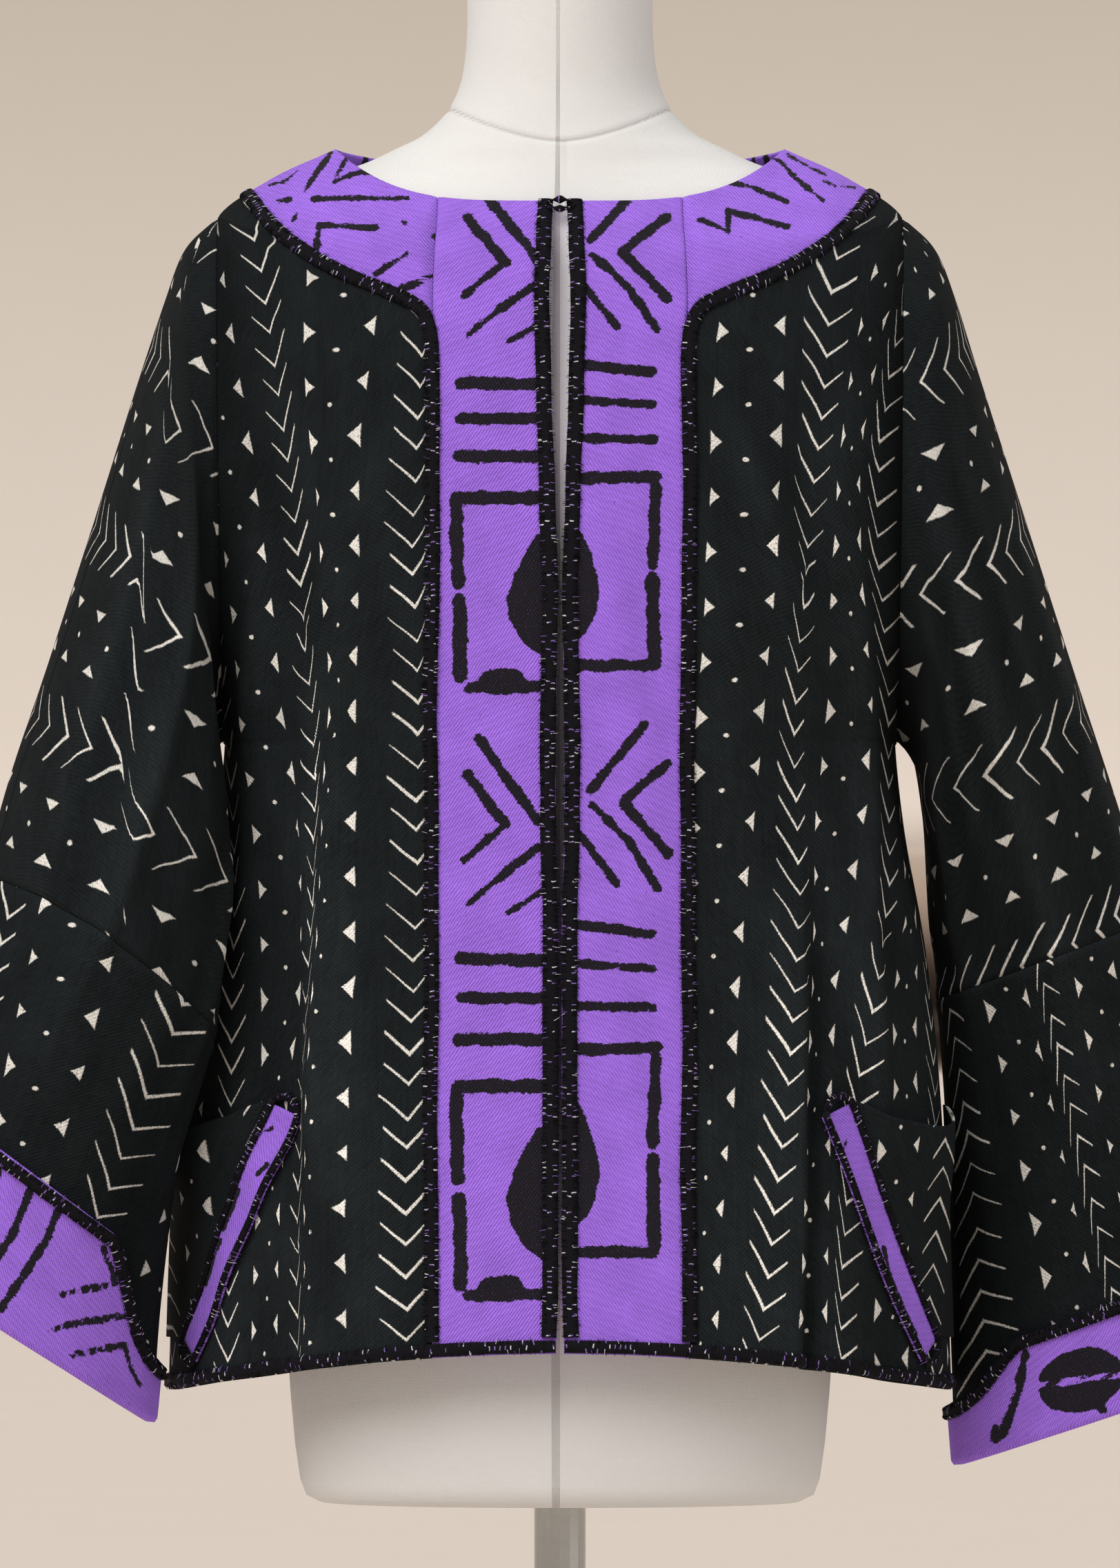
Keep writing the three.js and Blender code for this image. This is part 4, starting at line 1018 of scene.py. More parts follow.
def sleeve_point(side, turn, ring):
    """A point of a sleeve: turn round it from its outer side by the front, ring down it."""
    turn, ring = np.broadcast_arrays(np.asarray(turn, float), np.asarray(ring, float))
    at = {name: along(SLEEVE[side], name, ring) for name in SLEEVE[side]}
    angle = 2 * np.pi * turn
    wide = (at["outer_x"] - at["inner_x"]) / 2
    tall = (at["outer_z"] - at["inner_z"]) / 2
    reach = at["depth"] * np.sin(angle)
    offset = np.stack(
        [wide * np.cos(angle) - at["lean"] * reach, -reach, tall * np.cos(angle)], -1
    )
    offset = offset + unit(offset) * sleeve_fold(side, turn, ring)[..., None]
    return np.stack(
        [
            side * ((at["outer_x"] + at["inner_x"]) / 2 + offset[..., 0]),
            offset[..., 1] - at["forward"],
            (at["outer_z"] + at["inner_z"]) / 2 + offset[..., 2],
        ],
        -1,
    )


def sleeve_normal(side, turn, ring):
    step = 0.004
    low = np.maximum(0, ring - step)
    high = np.minimum(END_RING, ring + step)
    round_way = sleeve_point(side, turn + step, ring) - sleeve_point(side, turn - step, ring)
    down = sleeve_point(side, turn, high) - sleeve_point(side, turn, low)
    return unit(np.cross(round_way, down) * side)


# The line down the middle of each arm, for the motifs: a point at its top and one low down.
ARM_LINE = {-1: [[-228, 0, 1215], [-340, -76, 735]], 1: [[228, 0, 1215], [352, 46, 660]]}
ARM_RADIUS = 84
SLEEVE_PERIOD = 122
# How the rows of motifs climb round each upper sleeve, where they start, and how far they
# jump where the cloth is tucked in along the lengthwise fold.
SLEEVE_ROWS = {
    -1: {"climb": 0.308, "start": 91, "jump": 35, "lean": 0},
    1: {"climb": 0.202, "start": 73.5, "jump": 0, "lean": -0.3},
}
# Columns of the lower sleeves, by their distance round the arm.
LOWER_COLUMNS = {
    -1: table("round place", [[-57, 0], [-20, 38], [0, 52], [18, 66], [42, 104], [80, 142]]),
    1: table(
        "round place",
        [
            [-90, -104],
            [-46, -66],
            [-29, -52],
            [-15, -38],
            [0, 0],
            [24, 38],
            [38, 52],
            [52, 66],
            [92, 104],
        ],
    ),
}


def arm_coordinates(side, points):
    """Distance down the arm and round it from its front, in mm."""
    top, low = (np.array(end, float) for end in ARM_LINE[side])
    down = (low - top) / np.linalg.norm(low - top)
    out = np.array([side, 0, 0.0])
    out = out - down * np.dot(out, down)
    out /= np.linalg.norm(out)
    front = np.cross(down, out) * side
    front = front if front[1] < 0 else -front
    offset = points - top
    far = offset @ down
    angle = np.arctan2(offset @ out, offset @ front)
    # The sleeve is flatter in front than a round one, so its marks are wider apart there.
    quarter = np.clip(angle, -np.pi / 2, np.pi / 2)
    angle = 0.65 * angle + 0.35 * np.sin(quarter)
    return far, ARM_RADIUS * angle


def sleeve_wall(side, part, start, end, rows, motif):
    """The upper or lower part of a sleeve, from one ring to another."""
    row, column = grid(rows, 190)
    column = column[:, :-1]
    row = row[:, :-1]
    ring = mix(start, end, row)
    points = sleeve_point(side, column, ring)
    normal = sleeve_normal(side, column, ring)
    if start == 0:
        way = armhole_normal(2 * np.pi * column[0])
        normal[0] = way * np.array([side, 1, 1])
        points[0, :, 0] += side * SEAM_GAP
    tall = arc_lengths(points, 0)
    depth = 1.1 if start == 0 else 0.9
    dip = seam_dip(tall, depth) + (seam_dip(tall[-1:] - tall, 0.9) if start == 0 else 0)
    marks = motif(*arm_coordinates(side, points))
    # Painted shade on the sleeve's inner side facing the body and in its fold valleys, with a painted
    # highlight on the folds' crests.
    from_body = np.abs(column - 0.46) * SLEEVE_ROUND
    painted_shading = fold_painted_shading(sleeve_fold(side, column, ring) - 2, from_body / 2.4, 1.0)
    names = (f"sleeve_cloth_{part}_{WORD[side]}", f"sleeve_{part}_{WORD[side]}")
    add_shell(*names, points, normal, "mud_cloth", dip, marks, wraps=True, painted_shading=painted_shading)


def upper_sleeve(side):
    rows = SLEEVE_ROWS[side]

    def motif(far, around):
        fold = 20 - 0.13 * far
        inside = 1 - smooth((around - fold + 4) / 8)
        column = far + rows["climb"] * around - rows["start"] - rows["jump"] * inside
        lean = np.full_like(far, rows["lean"])
        return np.stack([column * MOTIF_PERIOD / SLEEVE_PERIOD, around, lean], -1)

    sleeve_wall(side, "upper", 0, PIECING_RING - PIECING_HALF_GAP, 100, motif)


def lower_sleeve(side):
    columns = LOWER_COLUMNS[side]

    def motif(far, around):
        place = np.interp(around, columns["round"], columns["place"])
        low = columns["place"][0] + (around - columns["round"][0])
        high = columns["place"][-1] + (around - columns["round"][-1])
        place = np.where(around < columns["round"][0], low, place)
        place = np.where(around > columns["round"][-1], high, place)
        return np.stack([place, far * side, np.full_like(far, -0.5 * side)], -1)

    sleeve_wall(side, "lower", PIECING_RING + PIECING_HALF_GAP, END_RING, 60, motif)


def cuff_depth(side, turn):
    inwards = smooth((-np.cos(2 * np.pi * turn) - 0.6) / 0.4)
    return mix(CUFF_DEPTH[side], CUFF_INNER_DEPTH, inwards)


def cuff_spot(side, turn, share):
    """A point and a normal of the sleeve under the cuff, share of its depth from the end."""
    depth = share * cuff_depth(side, turn)
    ring = END_RING - depth * (END_RING - CUFF_RING) / END_RING_LENGTH
    return sleeve_point(side, turn, ring), sleeve_normal(side, turn, ring)


# The cuffs' strokes in front, from x, z to x, z with a width.
CUFF_FRONT_STROKES = {
    -1: [
        [-345, 775, -352, 740, 5],
        [-325, 762, -335, 735, 5],
        [-335, 735, -352, 708, 5],
        [-307, 751, -315, 731, 5],
        [-317, 726, -344, 686, 5],
        [-284, 732, -273, 701, 3.6],
        [-276, 701, -306, 695, 4.4],
        [-268, 681, -293, 678, 4.4],
        [-293, 678, -314, 673, 4],
        [-268, 663, -286, 660, 4.6],
        [-286, 660, -300, 657, 4.4],
        [-262, 710, -264, 690, 3.4],
        [-261, 680, -249, 681, 5.4],
        [-268, 664, -266, 650, 2.6],
        [-266, 650, -260, 638, 2.6],
        [-265, 673, -256, 652, 3],
    ],
    1: [
        [290, 654, 285, 628, 5.3],
        [285, 628, 276, 602, 5.3],
        [272, 606, 272, 600, 6],
        [337, 621, 338, 619, 5],
        [386, 690, 372, 640, 6],
        [396, 700, 384, 640, 6],
    ],
}
# Those behind, by mm round and up the cuff from its outer side.
CUFF_BACK_STROKES = [
    [250, 12, 262, 66, 6],
    [285, 60, 318, 18, 6],
    [318, 18, 352, 58, 6],
    [372, 14, 380, 66, 6],
    [395, 14, 403, 66, 6],
]
# The leaf shape of the right cuff: its middle, half length and height, and its light vein.
LEAF = {"x": 324, "z": 638, "length": 27, "height": 20, "vein": 1.9}


def cuff_panel(side):
    """The turned-back cuff: up its outer face, over its top edge and back down inside."""
    turns = 220
    section_steps = 96
    up = CUFF_SECTION["up"]
    over = CUFF_SECTION["over"]
    count = len(up)
    position = np.linspace(0, count, section_steps, endpoint=False)
    up_fine = np.interp(position, np.arange(count + 1), np.append(up, up[0]))
    over_fine = np.interp(position, np.arange(count + 1), np.append(over, over[0]))
    turn = np.linspace(0, 1, turns, endpoint=False)[:, None]
    share = np.maximum(0, up_fine)[None, :]
    point, normal = cuff_spot(side, turn, share)
    end, _ = cuff_spot(side, turn, np.zeros((1, 1)))
    before, _ = cuff_spot(side, turn, np.full((1, 1), 0.1))
    past = unit(end - before)
    points = point + normal * over_fine[None, :, None]
    points = points + past * np.maximum(0, -up_fine)[None, :, None]
    around = arc_lengths(np.concatenate([end, end[:1]], 0), 0)[:-1]
    around = np.broadcast_to(around, points.shape[:2])
    tall = np.maximum(0, up_fine)[None, :] * cuff_depth(side, turn)
    in_front = np.broadcast_to(np.sin(2 * np.pi * turn) > -0.1, tall.shape)
    shown = stroke_distance(points[..., 0], points[..., 2], CUFF_FRONT_STROKES[side])
    hidden = stroke_distance(around, tall, CUFF_BACK_STROKES)
    if side > 0:
        across = (points[..., 0] - LEAF["x"]) / LEAF["length"]
        off = np.abs(points[..., 2] - LEAF["z"] - 4 * across)
        leaf = off - LEAF["height"] * np.sqrt(np.maximum(0.01, 1 - across**2))
        leaf = np.where(np.abs(across) < 1, leaf, 30)
        shown = np.minimum(shown, np.maximum(leaf, LEAF["vein"] - off))
    ink = np.where(in_front, shown, hidden)
    faces = grid_faces(turns, section_steps, rows_close=True)
    faces = faces if side > 0 else faces[:, ::-1]
    attributes = {
        "cloth": np.stack([around, tall, np.zeros_like(tall)], -1).reshape(-1, 3),
        "ink": ink.ravel(),
    }
    name = "cuff_cloth_" + WORD[side]
    piece = add_object(name, points.reshape(-1, 3), faces.tolist(), "purple_cloth", attributes)
    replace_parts(piece, "cuff_" + WORD[side])


def across_line(points, normals, closes):
    """The direction across a ribbon at each point of its line."""
    if closes:
        way = np.roll(points, -1, 0) - np.roll(points, 1, 0)
    else:
        way = np.gradient(points, axis=0)
    return unit(np.cross(unit(way), normals))


def refine(points, normals, closes, spacing):
    """The same line with even, closer points."""
    if closes:
        points = np.concatenate([points, points[:1]])
        normals = np.concatenate([normals, normals[:1]])
    far = arc_lengths(points, 0)
    steps = int(far[-1] / spacing)
    at = np.linspace(0, far[-1], steps + 1)
    at = at[:-1] if closes else at
    new_points = np.stack([np.interp(at, far, points[:, k]) for k in range(3)], -1)
    new_normals = np.stack([np.interp(at, far, normals[:, k]) for k in range(3)], -1)
    return new_points, unit(new_normals), at


def add_binding(
    node, points, normals, width, base, closes=False, height=BINDING_HEIGHT, apart=THREADS_APART
):
    """A raised black strip with an uneven edge and short threads that cross its edges."""
    points, normals, far = refine(points, normals, closes, BINDING_STEP)
    across = across_line(points, normals, closes)
    count = len(points)
    wobble = np.convolve(rng.normal(0, 1, count + 8), np.ones(9) / 9, "valid")[:count] * 1.3
    section = np.linspace(0, np.pi, 9)
    side = -np.cos(section) * width / 2
    lift = base + height * np.sin(section) ** 0.6
    ring_side = np.concatenate([side, [width * 0.3, -width * 0.3]])
    ring_lift = np.concatenate([lift, [base, base]])
    size = len(ring_side)
    spread = ring_side[None, :] * (1 + 0.06 * wobble[:, None])
    verts = points[:, None] + across[:, None] * spread[..., None]
    verts = verts + normals[:, None] * ring_lift[None, :, None]
    faces = grid_faces(count, size, rows_close=closes)
    first = np.cross(verts[0, 1] - verts[0, 0], verts[1, 0] - verts[0, 0])
    if np.dot(first, normals[0] - across[0] * 2) < 0:
        faces = faces[:, ::-1]
    faces = faces.tolist()
    if not closes:
        faces.append(list(range(size)))
        faces.append(list(range((count - 1) * size, count * size))[::-1])
    cloth = np.stack(np.broadcast_arrays(far[:, None], ring_side[None, :], 0.0), -1)
    kind, where = node.split("_", 1)
    name = f"{kind}_edge_{where}"
    cloth = {"cloth": cloth.reshape(-1, 3)}
    piece = add_object(name, verts.reshape(-1, 3), faces, "binding", cloth)
    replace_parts(piece, node)
    name = name + "_threads"
    add_threads(name, points, normals, across, far, width, base, height, apart)


def add_threads(name, points, normals, across, far, width, base, height, apart):
    """Short overcast threads over both edges of a strip, each a thin three-sided prism."""
    count = int(far[-1] / apart) * 2
    at = rng.uniform(1, far[-1] - 1, count)
    side = np.where(rng.random(count) < 0.5, -1.0, 1.0)

    def along_line(values):
        return np.stack([np.interp(at, far, values[:, k]) for k in range(3)], -1)

    centre = along_line(points)
    up = along_line(normals)
    out = along_line(across)
    way = np.cross(up, out)
    slip = rng.normal(0, 0.7, count)
    longer = rng.uniform(0.1, 1.5, count) ** 1.4
    stations = [
        (width / 2 - rng.uniform(1.2, 3.2, count), base + height * 0.98 + 0.12, 0.0),
        (width / 2 - 0.3, base + height * 0.62, 0.5),
        (width / 2 + longer, base * 0.3 + rng.uniform(-0.1, 0.5, count), 1.0),
    ]
    rings = []
    for reach, lift, share in stations:
        middle = centre + out * (side * reach)[:, None] + up * np.asarray(lift).reshape(-1, 1)
        middle = middle + way * (slip * share)[:, None]
        thin = 0.26 * (1 - 0.45 * share)
        ring = [
            middle + way * thin,
            middle - way * thin,
            middle + up * thin * 1.5,
        ]
        rings.append(np.stack(ring, 1))
    verts = np.concatenate(rings, 1).reshape(-1, 3)
    pattern = [[0, 2, 1], [6, 7, 8]]
    for k in (0, 3):
        for a, b in ((0, 1), (1, 2), (2, 0)):
            pattern.append([k + a, k + b, k + 3 + b, k + 3 + a])
    faces = []
    for n in range(count):
        faces.extend([[n * 9 + v for v in face] for face in pattern])
    shade = np.repeat(rng.random(count), 9)
    piece = add_object(name, verts, faces, "binding", {"shade": shade})
    piece.data.materials[0] = MATERIALS["thread"]


def body_line(face, turn, station):
    return body_point(face, turn, station), body_normal(face, turn, station)


def hem_z(x):
    return float(body_point(-1, turn_at(-1, 0.0, x), 0.0)[2])


def collar_binding(side):
    share = np.linspace(COLLAR_BINDING_END, 0.03, 70)
    turn, station = on_curve(collar_front, share)
    low_station = float(locate(-1, BAND_HALF, hem_z(BAND_HALF) + HEM_CLEAR)[1])
    down = np.linspace(band_top_station - 0.12, low_station, 120)
    turn = np.concatenate([turn, band_turn(down, 0)])
    station = np.concatenate([station, down])
    line = body_line(-1, side * turn, station)
    add_binding("binding_collar_" + WORD[side], *line, BINDING_WIDTH, COLLAR_BINDING_LIFT)


def collar_back_binding():
    share = np.linspace(-COLLAR_BINDING_END, COLLAR_BINDING_END, 160)
    turn, station = on_curve(collar_back, 1 - np.abs(share))
    line = body_line(1, np.sign(share) * turn, station)
    add_binding("binding_collar_back", *line, BINDING_WIDTH, COLLAR_BINDING_LIFT)


def front_binding(side):
    low_station = float(locate(-1, 1.0, hem_z(1.0) + HEM_CLEAR)[1])
    station = np.linspace(low_station, NECK_STATION, 200)
    turn = opening_turn(station, FRONT_BINDING_WIDTH / 2)
    line = body_line(-1, side * turn, station)
    add_binding("binding_front_" + WORD[side], *line, FRONT_BINDING_WIDTH, LAYER_GAP)


def hem_roll(node, face, turns):
    station = (HEM_WIDTH / 2 + 0.5) / (BODY["front_z"][1] - BODY["front_z"][0])
    line = body_line(face, turns, np.full_like(turns, station))
    form = {"height": HEM_HEIGHT, "apart": HEM_THREADS_APART}
    add_binding(node, *line, HEM_WIDTH, LAYER_GAP, **form)


def cuff_binding(side):
    turn = np.linspace(0, 1, 200, endpoint=False)
    line = cuff_spot(side, turn, np.full_like(turn, 0.955))
    base = CUFF_SECTION["over"][0] + 2 * LAYER_GAP
    add_binding("binding_cuff_" + WORD[side], *line, CUFF_BINDING_WIDTH, base, closes=True)


STRIP_TOP = {"x": 170, "z": 808}
STRIP_LOW = {"x": 226, "z": 659}


def strip_line(side, steps):
    share = np.linspace(0, 1, steps)
    x = mix(STRIP_TOP["x"], STRIP_LOW["x"], share)
    z = mix(STRIP_TOP["z"], STRIP_LOW["z"], share)
    turn, station = locate(-1, x, z)
    points, normals = body_line(-1, side * turn, station)
    return points, normals, across_line(points, normals, False), share


# Strokes of the pocket strips, by mm across them and down them.
STRIP_STROKES = {
    -1: [[7, 58, 8, 84, 3.2], [7, 92, 8, 122, 3.4], [-6, 34, -2, 42, 3], [3, 14, 9, 20, 2]],
    1: [[4, 92, 8, 112, 3.4], [8, 112, 7, 148, 3.6], [3, 20, 8, 24, 1.6]],
}


def pocket_strip(side):
    points, normals, across, share = strip_line(side, 70)
    width_share = np.linspace(-1, 1, 20)
    row = points[:, None] + across[:, None] * (width_share * STRIP_WIDTH / 2)[None, :, None]
    normal = np.broadcast_to(normals[:, None], row.shape)
    row = row + normal * (STRIP_LIFT + STRIP_CLOTH)
    tall = np.broadcast_to(share[:, None] * 162, row.shape[:2])
    across_mm = np.broadcast_to(width_share * STRIP_WIDTH / 2, row.shape[:2])
    ink = stroke_distance(across_mm, tall, STRIP_STROKES[side])
    names = ("pocket_strip_cloth_" + WORD[side], "pocket_strip_" + WORD[side])
    add_shell(*names, row, normal, "purple_cloth", ink=ink)


def strip_binding(side):
    points, normals, across, _ = strip_line(side, 60)
    reach = STRIP_WIDTH / 2 - 2.1
    right = points + across * reach
    left = points - across * reach

    def round_end(index, sign, way_sign):
        angle = np.radians([35, 65, 90, 115, 145])[:, None]
        onward = np.cross(normals[index], across[index]) * way_sign
        spot = points[index] + across[index] * sign * reach * np.cos(angle)
        return spot + onward * reach * 0.7 * np.sin(angle)

    ends = [round_end(-1, 1, 1), round_end(0, -1, -1)]
    line = np.concatenate([right, ends[0], left[::-1], ends[1]])
    ups = np.concatenate(
        [normals, np.tile(normals[-1], (5, 1)), normals[::-1], np.tile(normals[0], (5, 1))]
    )
    base = STRIP_LIFT + STRIP_CLOTH + LAYER_GAP
    add_binding("binding_strip_" + WORD[side], line, ups, STRIP_BINDING_WIDTH, base, closes=True)


POCKET_COLUMNS = {
    -1: table("x place", [[180, 0], [200, 24], [222, 38], [229, 52], [236, 66], [250, 104]]),
    1: table(
        "x place",
        [[160, 0], [185, 24], [198, 38], [208, 52], [219, 66], [237, 104], [260, 142]],
    ),
}


def pocket_panel(side):
    row, column = grid(56, 34)
    points, _, across, _ = strip_line(1, 40)
    outwards = across * np.sign(across[:, :1])
    spot = points + outwards * (STRIP_WIDTH / 2 + SEAM_GAP)
    slant = locate(-1, spot[:, 0], spot[:, 2])
    start = (slant[0][0], slant[1][0])
    end = (slant[0][-1], slant[1][-1])
    edge_turn = EDGE_TURN - 0.004
    top_turn = mix(start[0], edge_turn, column[:1])
    radius, angle, _, _ = body_ring(-1, top_turn, np.full_like(top_turn, start[1]))
    top_x = radius * np.sin(angle)
    top_z = POCKET_TOP_Z - POCKET_DROOP * np.sin(np.pi * column[:1]) ** 1.5
    top_station = mix(start[1], locate(-1, top_x, top_z)[1], smooth(column[:1] * 6))
    low_turn = mix(end[0], edge_turn, column[:1])
    low_station = np.full_like(low_turn, end[1])
    share = np.linspace(1, 0, row.shape[0])
    left = on_curve(slant, share)
    right_station = mix(low_station[0, -1], top_station[0, -1], row[:, :1])
    turn, station = patch(
        row,
        column,
        (left[0][:, None], left[1][:, None]),
        (np.full_like(right_station, edge_turn), right_station),
        (low_turn, low_station),
        (top_turn, top_station),
    )
    gape = LAYER_GAP + POCKET_GAPE * smooth((row - 0.45) / 0.55) * (
        np.sin(np.pi * column) ** 1.2
    )
    base = body_point(-1, side * turn, station)
    normal = body_normal(-1, side * turn, station)
    shown = base + normal * (gape + 2)[..., None]
    columns = POCKET_COLUMNS[side]
    place_x = np.abs(shown[..., 0]) + (770 - shown[..., 2]) * 0.1
    place = np.interp(place_x, columns["x"], columns["place"])
    motif = np.stack([place, -shown[..., 2], np.full_like(place, 0.2)], -1)
    names = ("pocket_cloth_" + WORD[side], "pocket_" + WORD[side])
    add_shell(*names, shown, normal, "mud_cloth", motif=motif)


def form_torso():
    """The dress form, closed at its foot and neck, with a neck seam and a front seam."""
    around = 150
    low_rows = np.linspace(0, 13.0, 40)
    high_rows = np.linspace(13.0, len(FORM["z"]) - 1, 96)[1:]
    row = np.concatenate([low_rows, high_rows])[:, None]
    angle = np.linspace(0, 2 * np.pi, around, endpoint=False)[None, :]
    square = along(FORM, "square", row)
    front = along(FORM, "front", row)
    back = along(FORM, "back", row)
    depth = np.where(np.cos(angle) > 0, front, back)
    wide = np.abs(np.sin(angle)) / along(FORM, "half_width", row)
    deep = np.abs(np.cos(angle)) / depth
    radius = (wide**square + deep**square) ** (-1 / square)
    x = radius * np.sin(angle)
    y = -radius * np.cos(angle)
    z = np.broadcast_to(along(FORM, "z", row), x.shape)
    ring_z = NECK_SEAM_Z - 21 * (1 - np.clip(np.abs(x) / 68, 0, 1) ** 1.7)
    ring_z = np.where(y > 0, NECK_SEAM_Z + 8 * np.clip(y / 60, 0, 1), ring_z)
    groove = 1.1 * bell(z - ring_z, 1.7)
    front = (y < 0) * (z < ring_z)
    front_seam = 0.9 * bell(x - FORM_SEAM_X, 1.5) * front
    shrink = 1 - (groove + front_seam) / np.maximum(radius, 1)
    points = np.stack([x * shrink, y * shrink, z], -1)
    faces = grid_faces(len(row), around).tolist()
    faces.append(list(range(around))[::-1])
    faces.append([(len(row) - 1) * around + k for k in range(around)])
    cloth = np.stack([angle * 70 + 0 * z, z, np.zeros_like(z)], -1)
    seam = bell(z - ring_z, 0.8) + bell(x - FORM_SEAM_X, 0.7) * front
    attributes = {"cloth": cloth.reshape(-1, 3), "ink": seam.ravel()}
    piece = add_object("form_cover", points.reshape(-1, 3), faces, "linen", attributes)
    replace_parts(piece, "form_torso")


def thread_loop():
    """A small black loop of thread at the top of the opening, knotted in its middle."""
    point = body_point(-1, 0.0, 11.75)
    normal = body_normal(-1, 0.0, 11.75)
    over = LAYER_GAP + BINDING_HEIGHT + SEAM_GAP + 0.9
    steps = 40
    sides = 8
    turn = np.linspace(0, 2 * np.pi, steps, endpoint=False)
    side = np.array([1.0, 0, 0])
    up = np.cross(normal, side)
    up /= np.linalg.norm(up)
    ring = 8.8 * np.cos(turn)[:, None] * side + 3.6 * np.sin(turn)[:, None] * up
    out = np.cos(turn)[:, None] * side + np.sin(turn)[:, None] * up
    centre = point + normal * over + ring
    radius = 0.75 + 0.15 * np.sin(turn * 5) + 1.8 * bell(np.cos(turn), 0.3)
    verts = []
    for k in range(sides):
        angle = 2 * np.pi * k / sides
        verts.append(centre + radius[:, None] * (np.cos(angle) * out + np.sin(angle) * normal))
    verts = np.stack(verts, 1).reshape(-1, 3)
    faces = grid_faces(steps, sides, rows_close=True)[:, [0, 3, 2, 1]].tolist()
    far = np.repeat(turn * 8, sides)
    cloth = np.stack([far, np.tile(np.arange(float(sides)), steps), 0 * far])
    piece = add_object("loop_of_thread", verts, faces, "binding", {"cloth": cloth.T})
    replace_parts(piece, "thread_loop")


class Field:
    """A number in a shader, with arithmetic that adds the nodes for it."""

    def __init__(self, tree, socket):
        self.tree = tree
        self.socket = socket

    def apply(self, operation, *others):
        made = self.tree.nodes.new("ShaderNodeMath")
        made.operation = operation
        for i, value in enumerate((self, *others)):
            if isinstance(value, Field):
                self.tree.links.new(value.socket, made.inputs[i])
            else:
                made.inputs[i].default_value = value
        return Field(self.tree, made.outputs[0])

    def __add__(self, other):
        return self.apply("ADD", other)

    def __sub__(self, other):
        return self.apply("SUBTRACT", other)

    def __mul__(self, other):
        return self.apply("MULTIPLY", other)

    def __truediv__(self, other):
        return self.apply("DIVIDE", other)

    def less(self, other, soft):
        """One where this is below the other, with a soft edge."""
        gap = other - self if isinstance(other, Field) else (self * -1) + other
        return (gap / soft + 0.5).clamp()

    def clamp(self):
        return self.apply("MAXIMUM", 0.0).apply("MINIMUM", 1.0)

    def wrap(self, pitch):
        return self.apply("WRAP", pitch / 2, -pitch / 2)


class Shader:
    """A cloth's material, with short ways to add its nodes."""

    def __init__(self, name):
        self.material = bpy.data.materials.new(name)
        self.material.use_nodes = True
        self.tree = self.material.node_tree
        self.bsdf = self.tree.nodes["Principled BSDF"]

    def add(self, kind, inputs=(), **settings):
        made = self.tree.nodes.new("ShaderNode" + kind)
        for key, value in settings.items():
            setattr(made, key, value)
        for key, value in dict(inputs).items():
            self.link(value, made.inputs[key])
        return made

    def link(self, value, socket):
        if isinstance(value, Field):
            self.tree.links.new(value.socket, socket)
        elif isinstance(value, bpy.types.NodeSocket):
            self.tree.links.new(value, socket)
        elif isinstance(value, tuple) and socket.type == "RGBA":
            socket.default_value = (*value, 1.0)
        else:
            socket.default_value = value

    def attribute(self, name):
        made = self.add("Attribute", attribute_name=name)
        return made.outputs["Vector"]

    def number(self, name):
        made = self.add("Attribute", attribute_name=name)
        return Field(self.tree, made.outputs["Fac"])

    def split(self, vector):
        made = self.add("SeparateXYZ", {"Vector": vector})
        return [Field(self.tree, output) for output in made.outputs]

    def join(self, x, y, z=0.0):
        made = self.add("CombineXYZ", {"X": x, "Y": y, "Z": z})
        return made.outputs[0]

    def noise(self, vector, scale, detail=2.0, rough=0.5):
        inputs = {"Vector": vector, "Scale": scale, "Detail": detail, "Roughness": rough}
        return Field(self.tree, self.add("TexNoise", inputs).outputs["Fac"])

    def random(self, vector):
        made = self.add("TexWhiteNoise", {"Vector": vector})
        return Field(self.tree, made.outputs["Value"])

    def blend(self, share, a, b):
        made = self.add("Mix", data_type="RGBA")
        self.link(share, made.inputs[0])
        self.link(a, made.inputs[6])
        self.link(b, made.inputs[7])
        return made.outputs[2]

    def scale_colour(self, colour, amount):
        made = self.add("VectorMath", {0: colour}, operation="SCALE")
        self.link(amount, made.inputs["Scale"])
        return made.outputs[0]

    def finish(self, colour, height, depth, rough=0.9, sheen=0.0, shine=0.2):
        bump = self.add("Bump", {"Height": height, "Distance": depth, "Strength": 1.0})
        self.link(colour, self.bsdf.inputs["Base Color"])
        self.link(bump.outputs[0], self.bsdf.inputs["Normal"])
        self.bsdf.inputs["Roughness"].default_value = rough
        self.bsdf.inputs["Sheen Weight"].default_value = sheen
        self.bsdf.inputs["Sheen Roughness"].default_value = 0.5
        self.bsdf.inputs["Specular IOR Level"].default_value = shine
        return self.material


def weave(shader, u, v, pitch):
    """A plain weave's height from 0 to 1, its threads uneven in width and level."""
    place = shader.join(u, v)
    drift = shader.noise(place, 0.25, 2.0) * 1.6
    a = ((u + drift) * (math.pi / pitch)).apply("SINE")
    b = ((v - drift) * (math.pi / pitch)).apply("SINE")
    bumps = (a * b) * 0.5 + 0.5
    slubs_across = shader.noise(shader.join(u * 0.12, v), 0.9, 2.0)
    slubs_down = shader.noise(shader.join(u, v * 0.12), 0.9, 2.0)
    return bumps * 0.6 + slubs_across * 0.35 + slubs_down * 0.35


